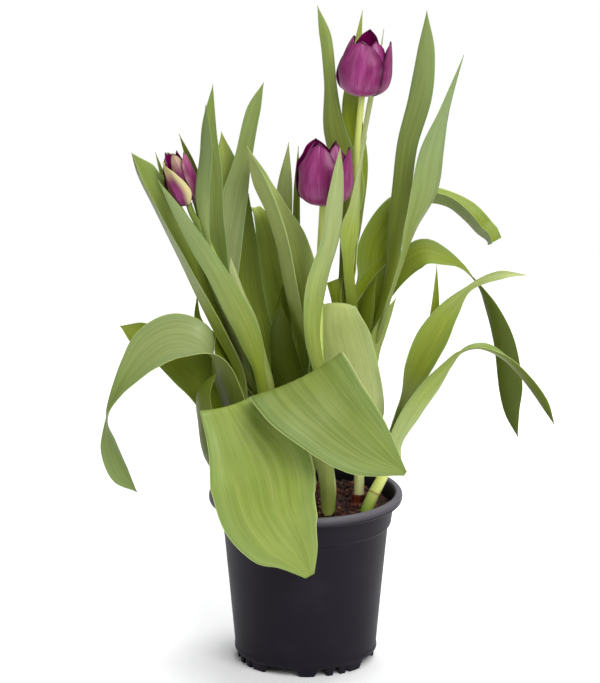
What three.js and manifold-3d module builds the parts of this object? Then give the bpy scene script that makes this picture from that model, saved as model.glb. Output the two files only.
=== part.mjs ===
// A potted tulip: a 12 cm nursery pot of peat with seven bulbs, three of them in flower.
// Millimetres, +Z up, the front of the plant towards -Y.
import * as THREE from 'three';
import { mergeVertices } from 'three/addons/utils/BufferGeometryUtils.js';
import Module from 'manifold-3d';

const wasm = await Module();
wasm.setup();

// Driving dimensions.
const rimDiameter = 120; // a common nursery pot size
const potHeight = 108;
const wall = 1.3;
const footHeight = 5.5;
const soilTop = 98;
const fit = 0.35; // air left between soil, bulbs and pot
const leafThick = 0.9;
const seat = 0.6; // air between a stem and the foot of a leaf on it
const tepalThick = 0.8;
const layerStep = 1.35; // from one wrapped leaf to the next
const leafStep = 17; // the spacing of a leaf's rows
const broadLeaf = 40; // a leaf wider than this gets more columns

const rad = THREE.MathUtils.degToRad;
const lerp = THREE.MathUtils.lerp;
const vec = (x, y, z) => new THREE.Vector3(x, y, z);

// Materials.
const paint = (color, roughness) => new THREE.MeshStandardMaterial({ color, roughness, metalness: 0 });
const potPlastic = paint(0x2b292e, 0.42);
const peat = paint(0x3a1f19, 0.97);
const bulbSkin = paint(0x7a3216, 0.6);
const stemGreen = paint(0xb4c66a, 0.5);
const leafGreen = paint(0x7f9c58, 0.5);
const tepalPurple = paint(0x84307a, 0.45);

const model = new THREE.Group();
const plant = new THREE.Group();
model.add(plant);

function addPiece(name, geometry, material) {
  const mesh = new THREE.Mesh(geometry, material);
  mesh.name = name;
  plant.add(mesh);
}

// Solids for joining and cutting.
function toSolid(geometry) {
  const bare = geometry.clone();
  bare.deleteAttribute('normal');
  bare.deleteAttribute('uv');
  const merged = mergeVertices(bare, 1e-4);
  return new wasm.Manifold(new wasm.Mesh({
    numProp: 3,
    vertProperties: new Float32Array(merged.attributes.position.array),
    triVerts: new Uint32Array(merged.index.array),
  }));
}

function toGeometry(solid) {
  const mesh = solid.getMesh();
  const geometry = new THREE.BufferGeometry();
  geometry.setAttribute('position', new THREE.BufferAttribute(new Float32Array(mesh.vertProperties), 3));
  geometry.setIndex([...mesh.triVerts]);
  return geometry;
}

function lathe(profile, segments) {
  const geometry = new THREE.LatheGeometry(profile.map(([r, z]) => new THREE.Vector2(r, z)), segments);
  return geometry.rotateX(Math.PI / 2);
}

// A closed skin over rings of points: each ring is joined to the next, and both ends are capped.
function loft(rings) {
  const count = rings[0].length;
  const position = rings.flat().flatMap((p) => [p.x, p.y, p.z]);
  const index = [];
  for (let i = 0; i + 1 < rings.length; i += 1) {
    for (let k = 0; k < count; k += 1) {
      const a = i * count + k;
      const b = i * count + ((k + 1) % count);
      index.push(a, b, b + count, a, b + count, a + count);
    }
  }
  const last = (rings.length - 1) * count;
  for (let k = 1; k + 1 < count; k += 1) {
    index.push(0, k + 1, k);
    index.push(last, last + k, last + k + 1);
  }
  const geometry = new THREE.BufferGeometry();
  geometry.setAttribute('position', new THREE.Float32BufferAttribute(position, 3));
  geometry.setIndex(index);
  return geometry;
}

// A thin closed plate over a grid of points, half its thickness on each side of them.
function plate(grid, thickness) {
  const rows = grid.length;
  const columns = grid[0].length;
  const at = (i, j) => grid[Math.min(Math.max(i, 0), rows - 1)][Math.min(Math.max(j, 0), columns - 1)];
  const position = [];
  for (const side of [0.5, -0.5]) {
    for (let i = 0; i < rows; i += 1) {
      for (let j = 0; j < columns; j += 1) {
        const along = at(i + 1, j).clone().sub(at(i - 1, j));
        const across = at(i, j + 1).clone().sub(at(i, j - 1));
        const normal = along.cross(across).normalize();
        const p = at(i, j).clone().addScaledVector(normal, side * thickness);
        position.push(p.x, p.y, p.z);
      }
    }
  }
  const under = rows * columns;
  const id = (i, j) => i * columns + j;
  const index = [];
  for (let i = 0; i + 1 < rows; i += 1) {
    for (let j = 0; j + 1 < columns; j += 1) {
      const [a, b, c, d] = [id(i, j), id(i + 1, j), id(i + 1, j + 1), id(i, j + 1)];
      index.push(a, b, c, a, c, d);
      index.push(c + under, b + under, a + under, d + under, c + under, a + under);
    }
  }
  const edge = [];
  for (let i = 0; i < rows - 1; i += 1) edge.push(id(i, 0));
  for (let j = 0; j < columns - 1; j += 1) edge.push(id(rows - 1, j));
  for (let i = rows - 1; i > 0; i -= 1) edge.push(id(i, columns - 1));
  for (let j = columns - 1; j > 0; j -= 1) edge.push(id(0, j));
  edge.forEach((p, k) => {
    const q = edge[(k + 1) % edge.length];
    index.push(p, p + under, q + under, p, q + under, q);
  });
  const geometry = new THREE.BufferGeometry();
  geometry.setAttribute('position', new THREE.Float32BufferAttribute(position, 3));
  geometry.setIndex(index);
  return geometry;
}

// Pot: one moulded skin with a rolled lip, a collar below it, and a base that stands on feet.
const rimRadius = rimDiameter / 2;
const bodyTopRadius = 51;
const bodyTop = 86.5;
const baseRadius = 43.9;
const floorTop = footHeight + wall + 0.4;
const collarRadius = 54.9;
const collarTop = 101;
const innerWall = [
  [collarRadius - wall, collarTop - 1],
  [51.9, 89],
  [bodyTopRadius - wall, bodyTop],
  [baseRadius - wall, 9],
  [baseRadius - wall - 1.2, floorTop + 0.4],
];

function potShell() {
  const profile = [
    [0, footHeight],
    [42.4, footHeight],
    [43.7, 6],
    [44.3, 7.2],
    [44.2, 8.8],
    [baseRadius, 10],
    [bodyTopRadius, bodyTop],
    [bodyTopRadius + 0.3, bodyTop + 0.8],
    [53, 88],
    [collarRadius, collarTop],
    [57.5, collarTop + 0.2],
    [59.4, 102.3],
    [rimRadius, 104.3],
    [rimRadius - 0.4, 106.4],
    [rimRadius - 1.7, potHeight - 0.3],
    [56.8, potHeight],
    [55.8, potHeight - 0.6],
    [55.2, 106],
    ...innerWall,
    [0, floorTop],
  ];
  return toSolid(lathe(profile, 40));
}

// A foot is a short stretch of ring, narrower at the bottom than where it meets the base.
function foot(middle, halfTop, halfBottom) {
  const inner = 39.6;
  const outer = 42.9;
  const sunk = 0.6; // how far the foot runs into the base
  const rings = [];
  for (let k = 0; k <= 2; k += 1) {
    const side = k - 1;
    const ring = [];
    for (const [r, z, half] of [
      [inner, footHeight + sunk, halfTop],
      [outer, footHeight + sunk, halfTop],
      [outer - 0.6, 0, halfBottom],
      [inner, 0, halfBottom],
    ]) {
      const angle = rad(middle + side * half);
      ring.push(vec(r * Math.cos(angle), r * Math.sin(angle), z));
    }
    rings.push(ring);
  }
  return toSolid(loft(rings));
}

const footCount = 8;
const footPitch = 360 / footCount;
const firstFoot = -88.7; // the foot nearest the front
const wideFoot = [10.3, 5.8]; // half its angle at the top and at the bottom
const narrowFoot = [3.9, 2.6];
const drainRadius = 3.4;
const drainCircle = 33;

function buildPot() {
  let pot = potShell();
  for (let k = 0; k < footCount; k += 1) {
    const middle = firstFoot + k * footPitch;
    pot = pot.add(foot(middle, ...wideFoot));
    if (k % 2 === 0) {
      for (const turn of [19.6, 31.6]) pot = pot.add(foot(middle + turn, ...narrowFoot));
    }
    const hole = new THREE.CylinderGeometry(drainRadius, drainRadius, 10, 12).rotateX(Math.PI / 2);
    const turn = rad(middle + footPitch / 2);
    hole.translate(drainCircle * Math.cos(turn), drainCircle * Math.sin(turn), footHeight + 1);
    pot = pot.subtract(toSolid(hole));
  }
  return pot;
}

addPiece('pot', toGeometry(buildPot()), potPlastic);

// Flowers: the radius and height of each cup, and its tepals. Each tepal: compass angle, half its spread
// in degrees, its share of the flower's height, how much of the radius is left at its tip, how far the
// tip turns sideways, and how blunt the tip is.
const flowers = {
  top: { radius: 16.2, height: 35.5,
    outer: [[-114, 63, 0.98, 0.64, 8, 2.8], [4, 51, 0.95, 0.84, -4, 2.2], [119, 57, 0.84, 0.8, -34, 5]],
    inner: [[-54, 42, 0.97, 0.5, 4, 3.6], [82, 44, 1.1, 0.42, -4, 5], [186, 46, 0.98, 0.46, -8, 4]] },
  centre: { radius: 16.8, height: 39,
    outer: [[-112, 56, 1, 0.52, 0, 2.2], [0, 54, 0.92, 0.8, -6, 2.2], [126, 56, 0.98, 0.6, -4, 3]],
    inner: [[-50, 46, 0.99, 0.54, 4, 3], [50, 46, 0.98, 0.5, -6, 2.6], [176, 48, 0.95, 0.42, -20, 3]] },
  bud: { radius: 9.2, height: 34,
    outer: [[-122, 58, 0.87, 0.68, -32, 1.8], [-4, 58, 0.92, 0.66, -10, 3], [118, 58, 0.96, 0.56, 0, 3.4]],
    inner: [[-58, 50, 0.98, 0.4, -24, 3.4], [62, 48, 0.96, 0.4, -10, 4], [176, 46, 1, 0.38, -6, 4]] },
};

// Stems: where each one runs, from its bulb up, and its radius at the bottom and at the top.
const stems = {
  centre: { radius: [3.9, 2.2], points: [[14, -22, 90], [14, -22, 100], [15, -21, 114], [13, -18, 131],
    [9, -13, 157], [8, -9, 181], [8, -7, 231], [10.5, -5, 291]] },
  top: { radius: [3.2, 1.9], points: [[33, 2, 99], [33, 2, 106], [33, 2, 116], [31, 4, 139], [28, 6, 170],
    [26, 8, 225], [28, 9, 259], [31, 10, 321], [34, 10, 355.5]] },
  bud: { radius: [3.4, 1.9], points: [[-27, 9, 90], [-27, 9, 100], [-27, 9, 118], [-27, 8, 144],
    [-29, 6, 170], [-37, 4, 203], [-49, 1, 239], [-61, -2, 269], [-69, -4, 285], [-71, -4, 291]] },
  right: { radius: [4.1, 2.6], points: [[37, -16, 88], [37, -16, 98], [40, -15, 106], [47, -13, 120],
    [54, -10, 135], [59, -7, 147]] },
  back: { radius: [3, 2.4], points: [[27, 28, 80], [29, 31, 91], [33, 34.5, 101], [33, 35, 112],
    [35, 34, 130], [37, 33, 156], [39, 32, 182]] },
  middle: { radius: [3, 2.3], points: [[5, 17, 98], [4, 17, 106], [3, 17, 114], [-1, 16, 135],
    [-3, 15, 158], [-3, 15, 166]] },
  left: { radius: [3.4, 2.4], points: [[-35.5, -15.5, 86], [-36.5, -16, 98], [-36, -16, 113],
    [-33, -15, 135], [-30, -14, 154], [-29, -13, 166]] },
};

for (const stem of Object.values(stems)) {
  stem.curve = new THREE.CatmullRomCurve3(stem.points.map((p) => vec(...p)), false, 'centripetal');
  stem.top = stem.points.at(-1)[2];
}

const stemSamples = 60;
const stemStep = 14; // the spacing of a stem's rings
const growingTip = 14; // the length over which a stem with no flower runs out to a point

function stemRadius(stem, z, flowering) {
  const radius = lerp(...stem.radius, Math.max(0, (z - soilTop) / (stem.top - soilTop)));
  return flowering ? radius : radius * Math.min(1, 0.3 + (stem.top - z) / growingTip);
}

// The middle and radius of a stem at a height above the soil.
function stemAt(stem, height) {
  const z = soilTop + height;
  const line = stem.curve.getSpacedPoints(stemSamples);
  let i = 0;
  while (i < stemSamples - 1 && line[i + 1].z < z) i += 1;
  const part = THREE.MathUtils.clamp((z - line[i].z) / (line[i + 1].z - line[i].z), 0, 1);
  const share = THREE.MathUtils.clamp(height / (stem.top - soilTop), 0, 1);
  return { middle: line[i].clone().lerp(line[i + 1], part), radius: lerp(...stem.radius, share) };
}

function stemTube(name, extra = 0, sides = 8) {
  const stem = stems[name];
  const steps = Math.max(7, Math.round(stem.curve.getLength() / stemStep));
  const rings = [];
  for (let i = 0; i <= steps; i += 1) {
    const middle = stem.curve.getPointAt(i / steps);
    const along = stem.curve.getTangentAt(i / steps);
    const across = vec(1, 0, 0).addScaledVector(along, -along.x).normalize();
    const side = along.clone().cross(across);
    const radius = stemRadius(stem, middle.z, name in flowers) + extra;
    const ring = [];
    for (let k = 0; k < sides; k += 1) {
      const turn = (2 * Math.PI * k) / sides;
      ring.push(middle.clone().addScaledVector(across, radius * Math.cos(turn))
        .addScaledVector(side, radius * Math.sin(turn)));
    }
    rings.push(ring);
  }
  return loft(rings);
}

// Bulbs: where each one sits, its radius, and the height of its nose. A flowering bulb has a
// socket for its stem, and the other shoots are one grown piece with their bulb.
const bulbHeight = 33;
const bulbs = {
  centre: { at: [14, -22], radius: 12, nose: 96, socket: true },
  top: { at: [33, 2], radius: 9.2, nose: 105, socket: true },
  bud: { at: [-27, 9], radius: 12, nose: 96, socket: true },
  right: { at: [37, -16], radius: 7.8, nose: 95 },
  back: { at: [27, 28], radius: 7.6, nose: 88 },
  middle: { at: [5, 17], radius: 11, nose: 105.5 },
  left: { at: [-35.5, -15.5], radius: 8.2, nose: 95 },
};

function bulbSolid(name, extra = 0) {
  const { at, radius, nose, socket } = bulbs[name];
  const neck = stems[name].radius[0] + 1.6;
  const low = nose - bulbHeight;
  const r = radius + extra;
  const profile = [
    [0, low - extra],
    [r * 0.42, low - extra],
    [r * 0.8, low + 4 - extra],
    [r, low + 12],
    [r * 0.94, low + 19],
    [Math.max(r * 0.62, neck + extra), low + 26],
    [neck + extra, nose - 3],
    [neck - 0.5 + extra, nose + extra],
  ];
  if (socket && extra === 0) {
    const hole = stems[name].radius[0] + seat;
    profile.push([hole, nose], [hole, stems[name].points[0][2] - fit], [0, stems[name].points[0][2] - fit]);
  } else {
    profile.push([0, nose + extra]);
  }
  return toSolid(lathe(profile, 10).translate(at[0], at[1], 0));
}

for (const name of Object.keys(stems)) {
  if (bulbs[name].socket) {
    addPiece(`bulb_${name}`, toGeometry(bulbSolid(name)), bulbSkin);
    addPiece(`stem_${name}`, stemTube(name), stemGreen);
  } else {
    addPiece(`shoot_${name}`, toGeometry(bulbSolid(name).add(toSolid(stemTube(name)))), stemGreen);
  }
}

// Soil: it fills the pot, a little mounded, with a pocket round each bulb and stem.
function buildSoil() {
  const side = innerWall.slice(1).map(([r, z]) => [r - fit, z + fit]).reverse();
  const mound = [[53, 97.4], [48, 97.6], [34, 98.6], [16, 98.2], [0, 98.6]];
  const profile = [[0, floorTop + fit], ...side, ...mound];
  let soil = toSolid(lathe(profile, 40));
  for (const name of Object.keys(stems)) {
    soil = soil.subtract(bulbSolid(name, fit));
    soil = soil.subtract(toSolid(stemTube(name, fit)));
  }
  return soil;
}

addPiece('soil', toGeometry(buildSoil()), peat);

// Leaves. A leaf clasps its stem from `at` mm above the soil over `clasp` mm, on the stem's side at
// compass angle `side` (0 is +X, 90 is +Y), `layer` leaves out from the stem, where it is `foot` mm
// wide. Then its midrib runs freely through `points`, each [x, y, z, compass angle of its outer face,
// width, how far the blade banks in degrees].
const leaves = {
  leaf_top_left: { stem: 'top', at: 118, side: -175, layer: 2, clasp: 14, foot: 5.5,
    points: [
      [24, 20, 265, -140, 11.5], [26, 25, 296.5, -119, 20.5], [17, 26, 330, -112, 15],
      [14.5, 26, 360.5, -114, 8.5], [12, 25, 386, -109, 8], [7, 23, 407.5, -98, 0]] },
  leaf_top_clasping: { stem: 'top', at: 96, side: -60, layer: 3, clasp: 14, foot: 6,
    points: [
      [26.5, 0, 252, -60, 8], [27.5, -1, 273.5, -56, 14.5], [30.5, -1, 289, -40, 11],
      [33, 0, 313, -29, 4.5], [37, 2, 331.5, -29, 0]] },
  leaf_top_behind: { stem: 'top', at: 128, side: 110, layer: 1, clasp: 14, foot: 5,
    points: [
      [31, 30, 275.5, 110, 8.5], [34, 38, 308, 105, 8.5], [28, 38, 337.5, 105, 13],
      [29.5, 36, 363, 100, 9], [32, 35, 384, 95, 4.5], [34.5, 34, 402.5, 90, 0]] },
  leaf_top_right: { stem: 'top', at: 140, side: 20, layer: 0, clasp: 12, foot: 4.5,
    points: [
      [33, 27, 285, 10, 5.5], [35.5, 32, 318, -15, 8.5], [40, 33, 344.5, -20, 10.5],
      [44.5, 33, 368.5, -20, 5.5], [47.5, 32, 391.5, -20, 0]] },
  leaf_top_broad: { stem: 'top', at: 22, side: -85, layer: 1, clasp: 20, foot: 10, channel: 14,
    points: [
      [34.5, -4, 159.5, -90, 27.5], [31, -6, 183, -92, 29.5], [27, -8, 204, -94, 28],
      [21, -9, 221, -99, 23], [19.5, -6, 228.5, -100, 17], [23, -2, 225.5, -100, 11.5],
      [24.5, -1, 215.5, -100, 0]] },
  leaf_centre_front: { stem: 'centre', at: 66, side: -40, layer: 0, clasp: 16, foot: 7,
    points: [
      [5, -20.5, 211.5, -44, 13], [8, -25, 245.5, -44, 19.5], [16, -29, 275, -44, 17],
      [18.5, -32, 297.5, -43, 15.5], [20, -32, 315, -41, 10.5], [20.5, -30, 331.5, -40, 0]] },
  leaf_centre_drooping: { stem: 'centre', at: 14, side: -110, layer: 1, clasp: 14, foot: 13, channel: 12,
    points: [
      [7, -28, 154, -85, 29, 25], [3, -39, 177, -85, 49, 25], [-3, -61, 196.5, -84, 65.5, 25],
      [0, -69, 193, -78, 62, 25], [14.5, -77, 179, -72, 53.5, 25], [34, -79, 161, -67, 40.5, 25],
      [59.5, -79, 143, -70, 3, 25]] },
  leaf_right_upper: { stem: 'right', at: 20, side: 160, layer: 1, clasp: 10, foot: 6.5,
    points: [
      [58, 0.5, 162.5, 151, 10.5, -1], [68, 5, 185, 114, 19.5, -1], [76.5, 7, 202, 96, 20.5, -1],
      [88, 8, 221, 92, 13.5, 0], [101, 9, 235, 85, 4, 2], [118, 10, 242, 81, 6, 6],
      [136, 10, 242.5, 77, 0, 11]] },
  leaf_right_arching: { stem: 'right', at: 6, side: -24, layer: 2, clasp: 8, foot: 8.5, channel: 40,
    points: [
      [56.5, -17, 142, -49, 14, 0], [67, -15, 162.5, -60, 16.5, 2], [78, -12, 177, -60, 16, 4],
      [88, -12, 191, -46, 12, 4], [95.5, -12, 199.5, -26, 10, 1], [106, -12, 202, -8, 13.5, -4],
      [118.5, -12, 196.5, 11, 18.5, -3], [132, -12, 183.5, 26, 16, -3], [143, -12, 169, 33, 12.5, -6],
      [152.5, -12, 153.5, 37, 0, -11]] },
  leaf_right_spike: { stem: 'right', at: 32, side: 75, layer: 0, clasp: 8, foot: 4,
    points: [
      [64, 9, 159, 75, 9], [70, 14, 175, 80, 10.5], [76.5, 15, 197, 90, 8], [79.5, 17, 218, 90, 5.5],
      [80.5, 17, 247.5, 90, 0]] },
  leaf_back_tall: { stem: 'back', at: 70, side: -170, layer: 0, clasp: 16, foot: 5,
    points: [
      [46, 33, 214.5, -150, 7], [53, 33, 244, -125, 9], [55.5, 33, 268, -115, 11.5],
      [58.5, 33, 290.5, -112, 13], [62, 33, 320, -114, 14], [69.5, 32, 348.5, -106, 15],
      [73, 32, 375.5, -100, 11.5], [73.5, 32, 402.5, -99, 0]] },
  leaf_back_second: { stem: 'back', at: 60, side: -60, layer: 1, clasp: 16, foot: 7,
    points: [
      [50.5, 15, 220.5, -19, 6], [60, 12, 252, -21, 9.5], [65, 12, 270.5, -38, 14.5],
      [73.5, 13, 293.5, -53, 22], [77.5, 13, 319, -62, 17.5], [84.5, 13, 344.5, -56, 8],
      [95.5, 14, 379, -51, 0]] },
  leaf_back_arching: { stem: 'back', at: 30, side: 75, layer: 3, clasp: 20, foot: 12,
    keel: 50, folds: [0.45, 0.7],
    points: [
      [37, 50, 206.5, 75, 20.5, 0], [44, 54, 227, 73, 24.5, 0], [47.5, 56, 248, 61, 30, 3],
      [58.5, 54, 267, 31, 30, 4], [74, 51, 277.5, 1, 25, 1], [87.5, 49, 276, -14, 22.5, -4],
      [98, 48, 268, -24, 26, -6], [106.5, 48, 259, -29, 25.5, -4], [113, 47, 254, -35, 19.5, -1],
      [113, 47, 252, -35, 0, 1]] },
  leaf_back_hanging: { stem: 'back', at: 50, side: 60, layer: 2, clasp: 14, foot: 6,
    points: [
      [38, 38, 199.5, 75, 24.5, 13], [45.5, 39, 223, 72, 17.5, 12], [60, 39, 239.5, 55, 17.5, 19],
      [73, 37, 248.5, 25, 21.5, 33], [85, 35, 246.5, 5, 16, 31], [95.5, 35, 241.5, 6, 9, 18],
      [105.5, 34, 231.5, 25, 5.5, 6], [114, 33, 216.5, 51, 10.5, -1], [122.5, 33, 194, 68, 14.5, 1],
      [127, 33, 167.5, 76, 16, 1], [128.5, 33, 148, 76, 10, 0], [132.5, 33, 132, 76, 0, 0]] },
  leaf_bud_broad: { stem: 'bud', at: 95, side: 60, layer: 2, clasp: 14, foot: 8,
    points: [
      [-41, 18, 202.5, 60, 11.5], [-49, 20, 230.5, 74, 16.5], [-48.5, 21, 259, 89, 19.5],
      [-44, 21, 286.5, 90, 17], [-38, 21, 314, 90, 11], [-32, 21, 342.5, 90, 9],
      [-25.5, 21, 360.5, 89, 0]] },
  leaf_bud_diagonal: { stem: 'bud', at: 45, side: -70, layer: 4, clasp: 18, foot: 8,
    points: [
      [-28, -12, 186.5, -80, 7.5], [-33, -15, 207, -80, 14.5], [-42, -18, 228.5, -78, 15.5],
      [-53.5, -20, 251, -75, 13], [-63, -20, 266.5, -75, 11.5], [-75.5, -19, 287, -75, 7.5],
      [-89, -19, 309, -75, 0]] },
  leaf_bud_folded: { stem: 'bud', at: 30, side: 180, layer: 5, clasp: 18, foot: 10, keel: 36,
    points: [
      [-43.5, 3, 182.5, 180, 22], [-55, 2, 206.5, 177, 31], [-66.5, 1, 231, 170, 37],
      [-78, -2, 258, 162, 40], [-91.5, -5, 288, 157, 33], [-101.5, -7, 310, 157, 25],
      [-105, -7, 323, 162, 0]] },
  leaf_bud_behind: { stem: 'bud', at: 110, side: 130, layer: 1, clasp: 14, foot: 5.5,
    points: [
      [-45, 13.5, 226, 120, 6], [-57, 15.5, 260, 110, 9], [-65, 16, 289, 105, 9.5],
      [-70, 16, 310.5, 100, 5.5], [-77, 16, 329.5, 100, 0]] },
  leaf_bud_upper: { stem: 'bud', at: 126, side: 90, layer: 0, clasp: 12, foot: 4.5,
    points: [
      [-51, 7, 250, 95, 8], [-56, 5, 275, 95, 13.5], [-57, 3, 304.5, 92, 13.5],
      [-58.5, 3, 335.5, 90, 9.5], [-56, 3, 363, 90, 0]] },
  leaf_bud_back: { stem: 'bud', at: 20, side: 80, layer: 6, clasp: 14, foot: 5,
    points: [
      [-33.5, 24, 178, 80, 12.5], [-39.5, 31, 224.5, 85, 14.5], [-41, 31, 266, 90, 14],
      [-48, 30, 303.5, 90, 14.5], [-51.5, 29, 328, 89, 0]] },
  leaf_bud_front: { stem: 'bud', at: 70, side: -140, layer: 3, clasp: 14, foot: 6.5,
    points: [
      [-43.5, -5, 212, -120, 14], [-55, -10, 244.5, -110, 12], [-59.5, -13, 269, -105, 4],
      [-62.5, -16, 298, -105, 9], [-60, -15, 326, -104, 8], [-60, -13, 354, -104, 0]] },
  leaf_bud_low: { stem: 'bud', at: 8, side: 170, layer: 7, clasp: 16, foot: 10.5,
    points: [
      [-47.5, 13, 145.5, 147, 31.5], [-55, 15, 165, 124, 40.5], [-71.5, 17, 180.5, 119, 34.5],
      [-89, 18, 194.5, 119, 28], [-104.5, 18, 202, 124, 20], [-114.5, 18, 208, 136, 0]] },
  leaf_middle_folded: { stem: 'middle', at: 46, side: -170, layer: 0, clasp: 16, foot: 8.5,
    channel: 40, keel: 55,
    points: [
      [-3.5, 9, 192, -190, 17.5], [-8, 8, 213, -208, 33], [-13.5, 6, 238.5, -210, 45],
      [-18, 5, 263, -207, 39.5], [-24.5, 4, 284.5, -193, 27.5], [-32, 4, 302, -183, 23.5],
      [-35.5, 4, 324.5, -184, 0]] },
  leaf_middle_broad: { stem: 'middle', at: 34, side: 110, layer: 1, clasp: 16, foot: 7.5,
    points: [
      [-10, 28, 173.5, 100, 25], [-9.5, 34, 201.5, 95, 28], [-15, 38, 226.5, 91, 25.5],
      [-21.5, 40, 251.5, 90, 18], [-28, 42, 272, 90, 9], [-31.5, 46, 276, 90, 5],
      [-34.5, 50, 272, 90, 0.5]] },
  leaf_middle_slim: { stem: 'middle', at: 14, side: 70, layer: 4, clasp: 16, foot: 6.5,
    points: [
      [0, 33, 153, 80, 12], [-3.5, 41, 186, 85, 17.5], [-9, 44, 224.5, 90, 16],
      [-14, 43, 256.5, 90, 13], [-13, 40, 289, 90, 10], [-10.5, 37, 319.5, 90, 0]] },
  leaf_middle_left: { stem: 'middle', at: 20, side: 180, layer: 3, clasp: 18, foot: 4,
    points: [
      [-19.5, 11.5, 160, 145, 12.5], [-28, 22, 194.5, 110, 20], [-35, 26, 228.5, 100, 18],
      [-36, 28, 259.5, 100, 12], [-35, 28, 289.5, 95, 0]] },
  leaf_middle_short: { stem: 'middle', at: 28, side: -100, layer: 2, clasp: 14, foot: 7,
    points: [
      [-10, -1, 175, -100, 22.5], [-13, -5, 193.5, -90, 17.5], [-15.5, -6, 212.5, -90, 12.5],
      [-15, -5, 228, -90, 0]] },
  leaf_left_arching: { stem: 'left', at: 15, side: -170, layer: 1, clasp: 14, foot: 13.5,
    points: [
      [-43.5, -18, 158.5, -136, 25, 0], [-50, -19, 181, -137, 25, -3],
      [-57.5, -18, 199, -153, 27, -20], [-67.5, -16, 207, -164, 28.5, -42],
      [-81, -12, 208, -161, 32, -46], [-94, -10, 200.5, -153, 30.5, -41],
      [-105, -10, 188, -149, 22.5, -30], [-115, -10, 173, -159, 15, -12],
      [-121.5, -10, 157.5, -179, 11, 0], [-120, -10, 140.5, -209, 18, 0],
      [-114, -10, 122.5, -227, 15.5, 0], [-104, -10, 109.5, -235, 0, 0]] },
  leaf_left_small: { stem: 'left', at: 1.5, side: -170, layer: 3, clasp: 12, foot: 6.5,
    points: [
      [-60, -20, 132.5, -158, 19], [-62.5, -22, 157.5, -145, 19.5], [-62.5, -24, 177.5, -137, 11.5],
      [-54, -22, 190, -118, 0]] },
  leaf_left_drooping: { stem: 'left', at: 8, side: -90, layer: 2, clasp: 14, foot: 12, channel: 10,
    points: [
      [-36.5, -28, 133, -90, 19, 0], [-44, -38, 156, -85, 24.5, 0], [-51.5, -49, 176, -83, 30.5, 12],
      [-40.5, -60.5, 165, -85, 42.5, 3], [-27.5, -70, 140.5, -86, 63.5, 0],
      [-22.5, -75, 119.5, -88, 59.5, 0], [-13.5, -76, 102.5, -88, 49, 0],
      [-5.5, -76, 91.5, -90, 28, 0], [2, -76, 76.5, -90, 0, 0]] },
};

const smooth = (x) => THREE.MathUtils.smoothstep(x, 0, 1);

// The value at a fractional place in a list: a cubic through its values that never swings past them.
function valueAt(values, place) {
  const last = values.length - 1;
  const first = Math.min(Math.floor(place), last - 1);
  const rise = (k) => values[k + 1] - values[k];
  const slope = (k) => {
    if (k === 0) return rise(0);
    if (k === last) return rise(last - 1);
    const [before, after] = [rise(k - 1), rise(k)];
    return before * after > 0 ? (2 * before * after) / (before + after) : 0;
  };
  const t = place - first;
  const blend = t * t * (3 - 2 * t);
  const bow = t * (1 - t);
  return lerp(values[first], values[first + 1], blend)
    + bow * ((1 - t) * slope(first) - t * slope(first + 1));
}

// The leaf's middle surface. Across the midrib it is an arc that wraps the stem at the bottom and
// opens to a shallow channel of `channel` degrees, or to a fold of `keel` degrees, further up. `folds`
// says between which parts of the length the fold comes in.
function leafGrid(leaf, acrossSteps) {
  const { stem, at, side, layer, clasp, foot, points, channel = 25, keel = 0 } = leaf;
  const opening = 0.25;
  const [foldStart, foldEnd] = leaf.folds ?? [0, opening];
  const narrowest = 0.8;
  const tight = stemAt(stems[stem], at).radius + seat + leafThick / 2;
  const loosen = (part) => tight + layer * layerStep * Math.min(1, part);
  const outwards = vec(Math.cos(rad(side)), Math.sin(rad(side)), 0);
  const clasped = [0, 0.5, 1];
  const route = clasped.map((part) => stemAt(stems[stem], at + part * clasp).middle
    .addScaledVector(outwards, loosen(part)));
  const facing = clasped.map(() => side);
  const widths = clasped.map((part) => lerp(foot, points[0][4], part / 2));
  const banks = clasped.map(() => 0);
  for (const [x, y, z, face, width, bank = 0] of points) {
    route.push(vec(x, y, z));
    facing.push(facing.at(-1) + ((face - facing.at(-1) + 540) % 360) - 180);
    widths.push(width);
    banks.push(bank);
  }
  const curve = new THREE.CatmullRomCurve3(route, false, 'centripetal');
  const length = curve.getLength();
  const lengthSteps = Math.min(14, Math.round(length / leafStep));
  const grid = [];
  for (let i = 0; i <= lengthSteps; i += 1) {
    const u = i / lengthSteps;
    const wrap = loosen((u * length) / clasp);
    const middle = curve.getPointAt(u);
    const along = curve.getTangentAt(u);
    const place = curve.getUtoTmapping(u) * (route.length - 1);
    const face = rad(valueAt(facing, place));
    const tilt = rad(valueAt(banks, place));
    const wide = Math.max(valueAt(widths, place), narrowest);
    const open = smooth(u / opening);
    const across = vec(-Math.sin(face) * Math.cos(tilt), Math.cos(face) * Math.cos(tilt), Math.sin(tilt));
    across.addScaledVector(along, -across.dot(along)).normalize();
    const inwards = along.clone().cross(across);
    const half = lerp(Math.min(wide / (2 * wrap), rad(150)), rad(channel), open);
    const bend = wide / (2 * half);
    const folded = smooth((u - foldStart) / (foldEnd - foldStart));
    const fold = rad(keel) * folded;
    const row = [];
    for (let j = 0; j <= acrossSteps; j += 1) {
      const v = (2 * j) / acrossSteps - 1;
      let sideways = bend * Math.sin(half * v);
      let depth = bend * (1 - Math.cos(half * v));
      if (keel) {
        sideways = lerp(sideways, (wide / 2) * v * Math.cos(fold), folded);
        depth = lerp(depth, (wide / 2) * Math.abs(v) * Math.sin(fold), folded);
      }
      row.push(middle.clone().addScaledVector(across, sideways).addScaledVector(inwards, depth));
    }
    grid.push(row);
  }
  return grid;
}

for (const [name, leaf] of Object.entries(leaves)) {
  const widest = Math.max(...leaf.points.map((point) => point[4]));
  addPiece(name, plate(leafGrid(leaf, widest > broadLeaf ? 6 : 4), leafThick), leafGreen);
}

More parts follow.
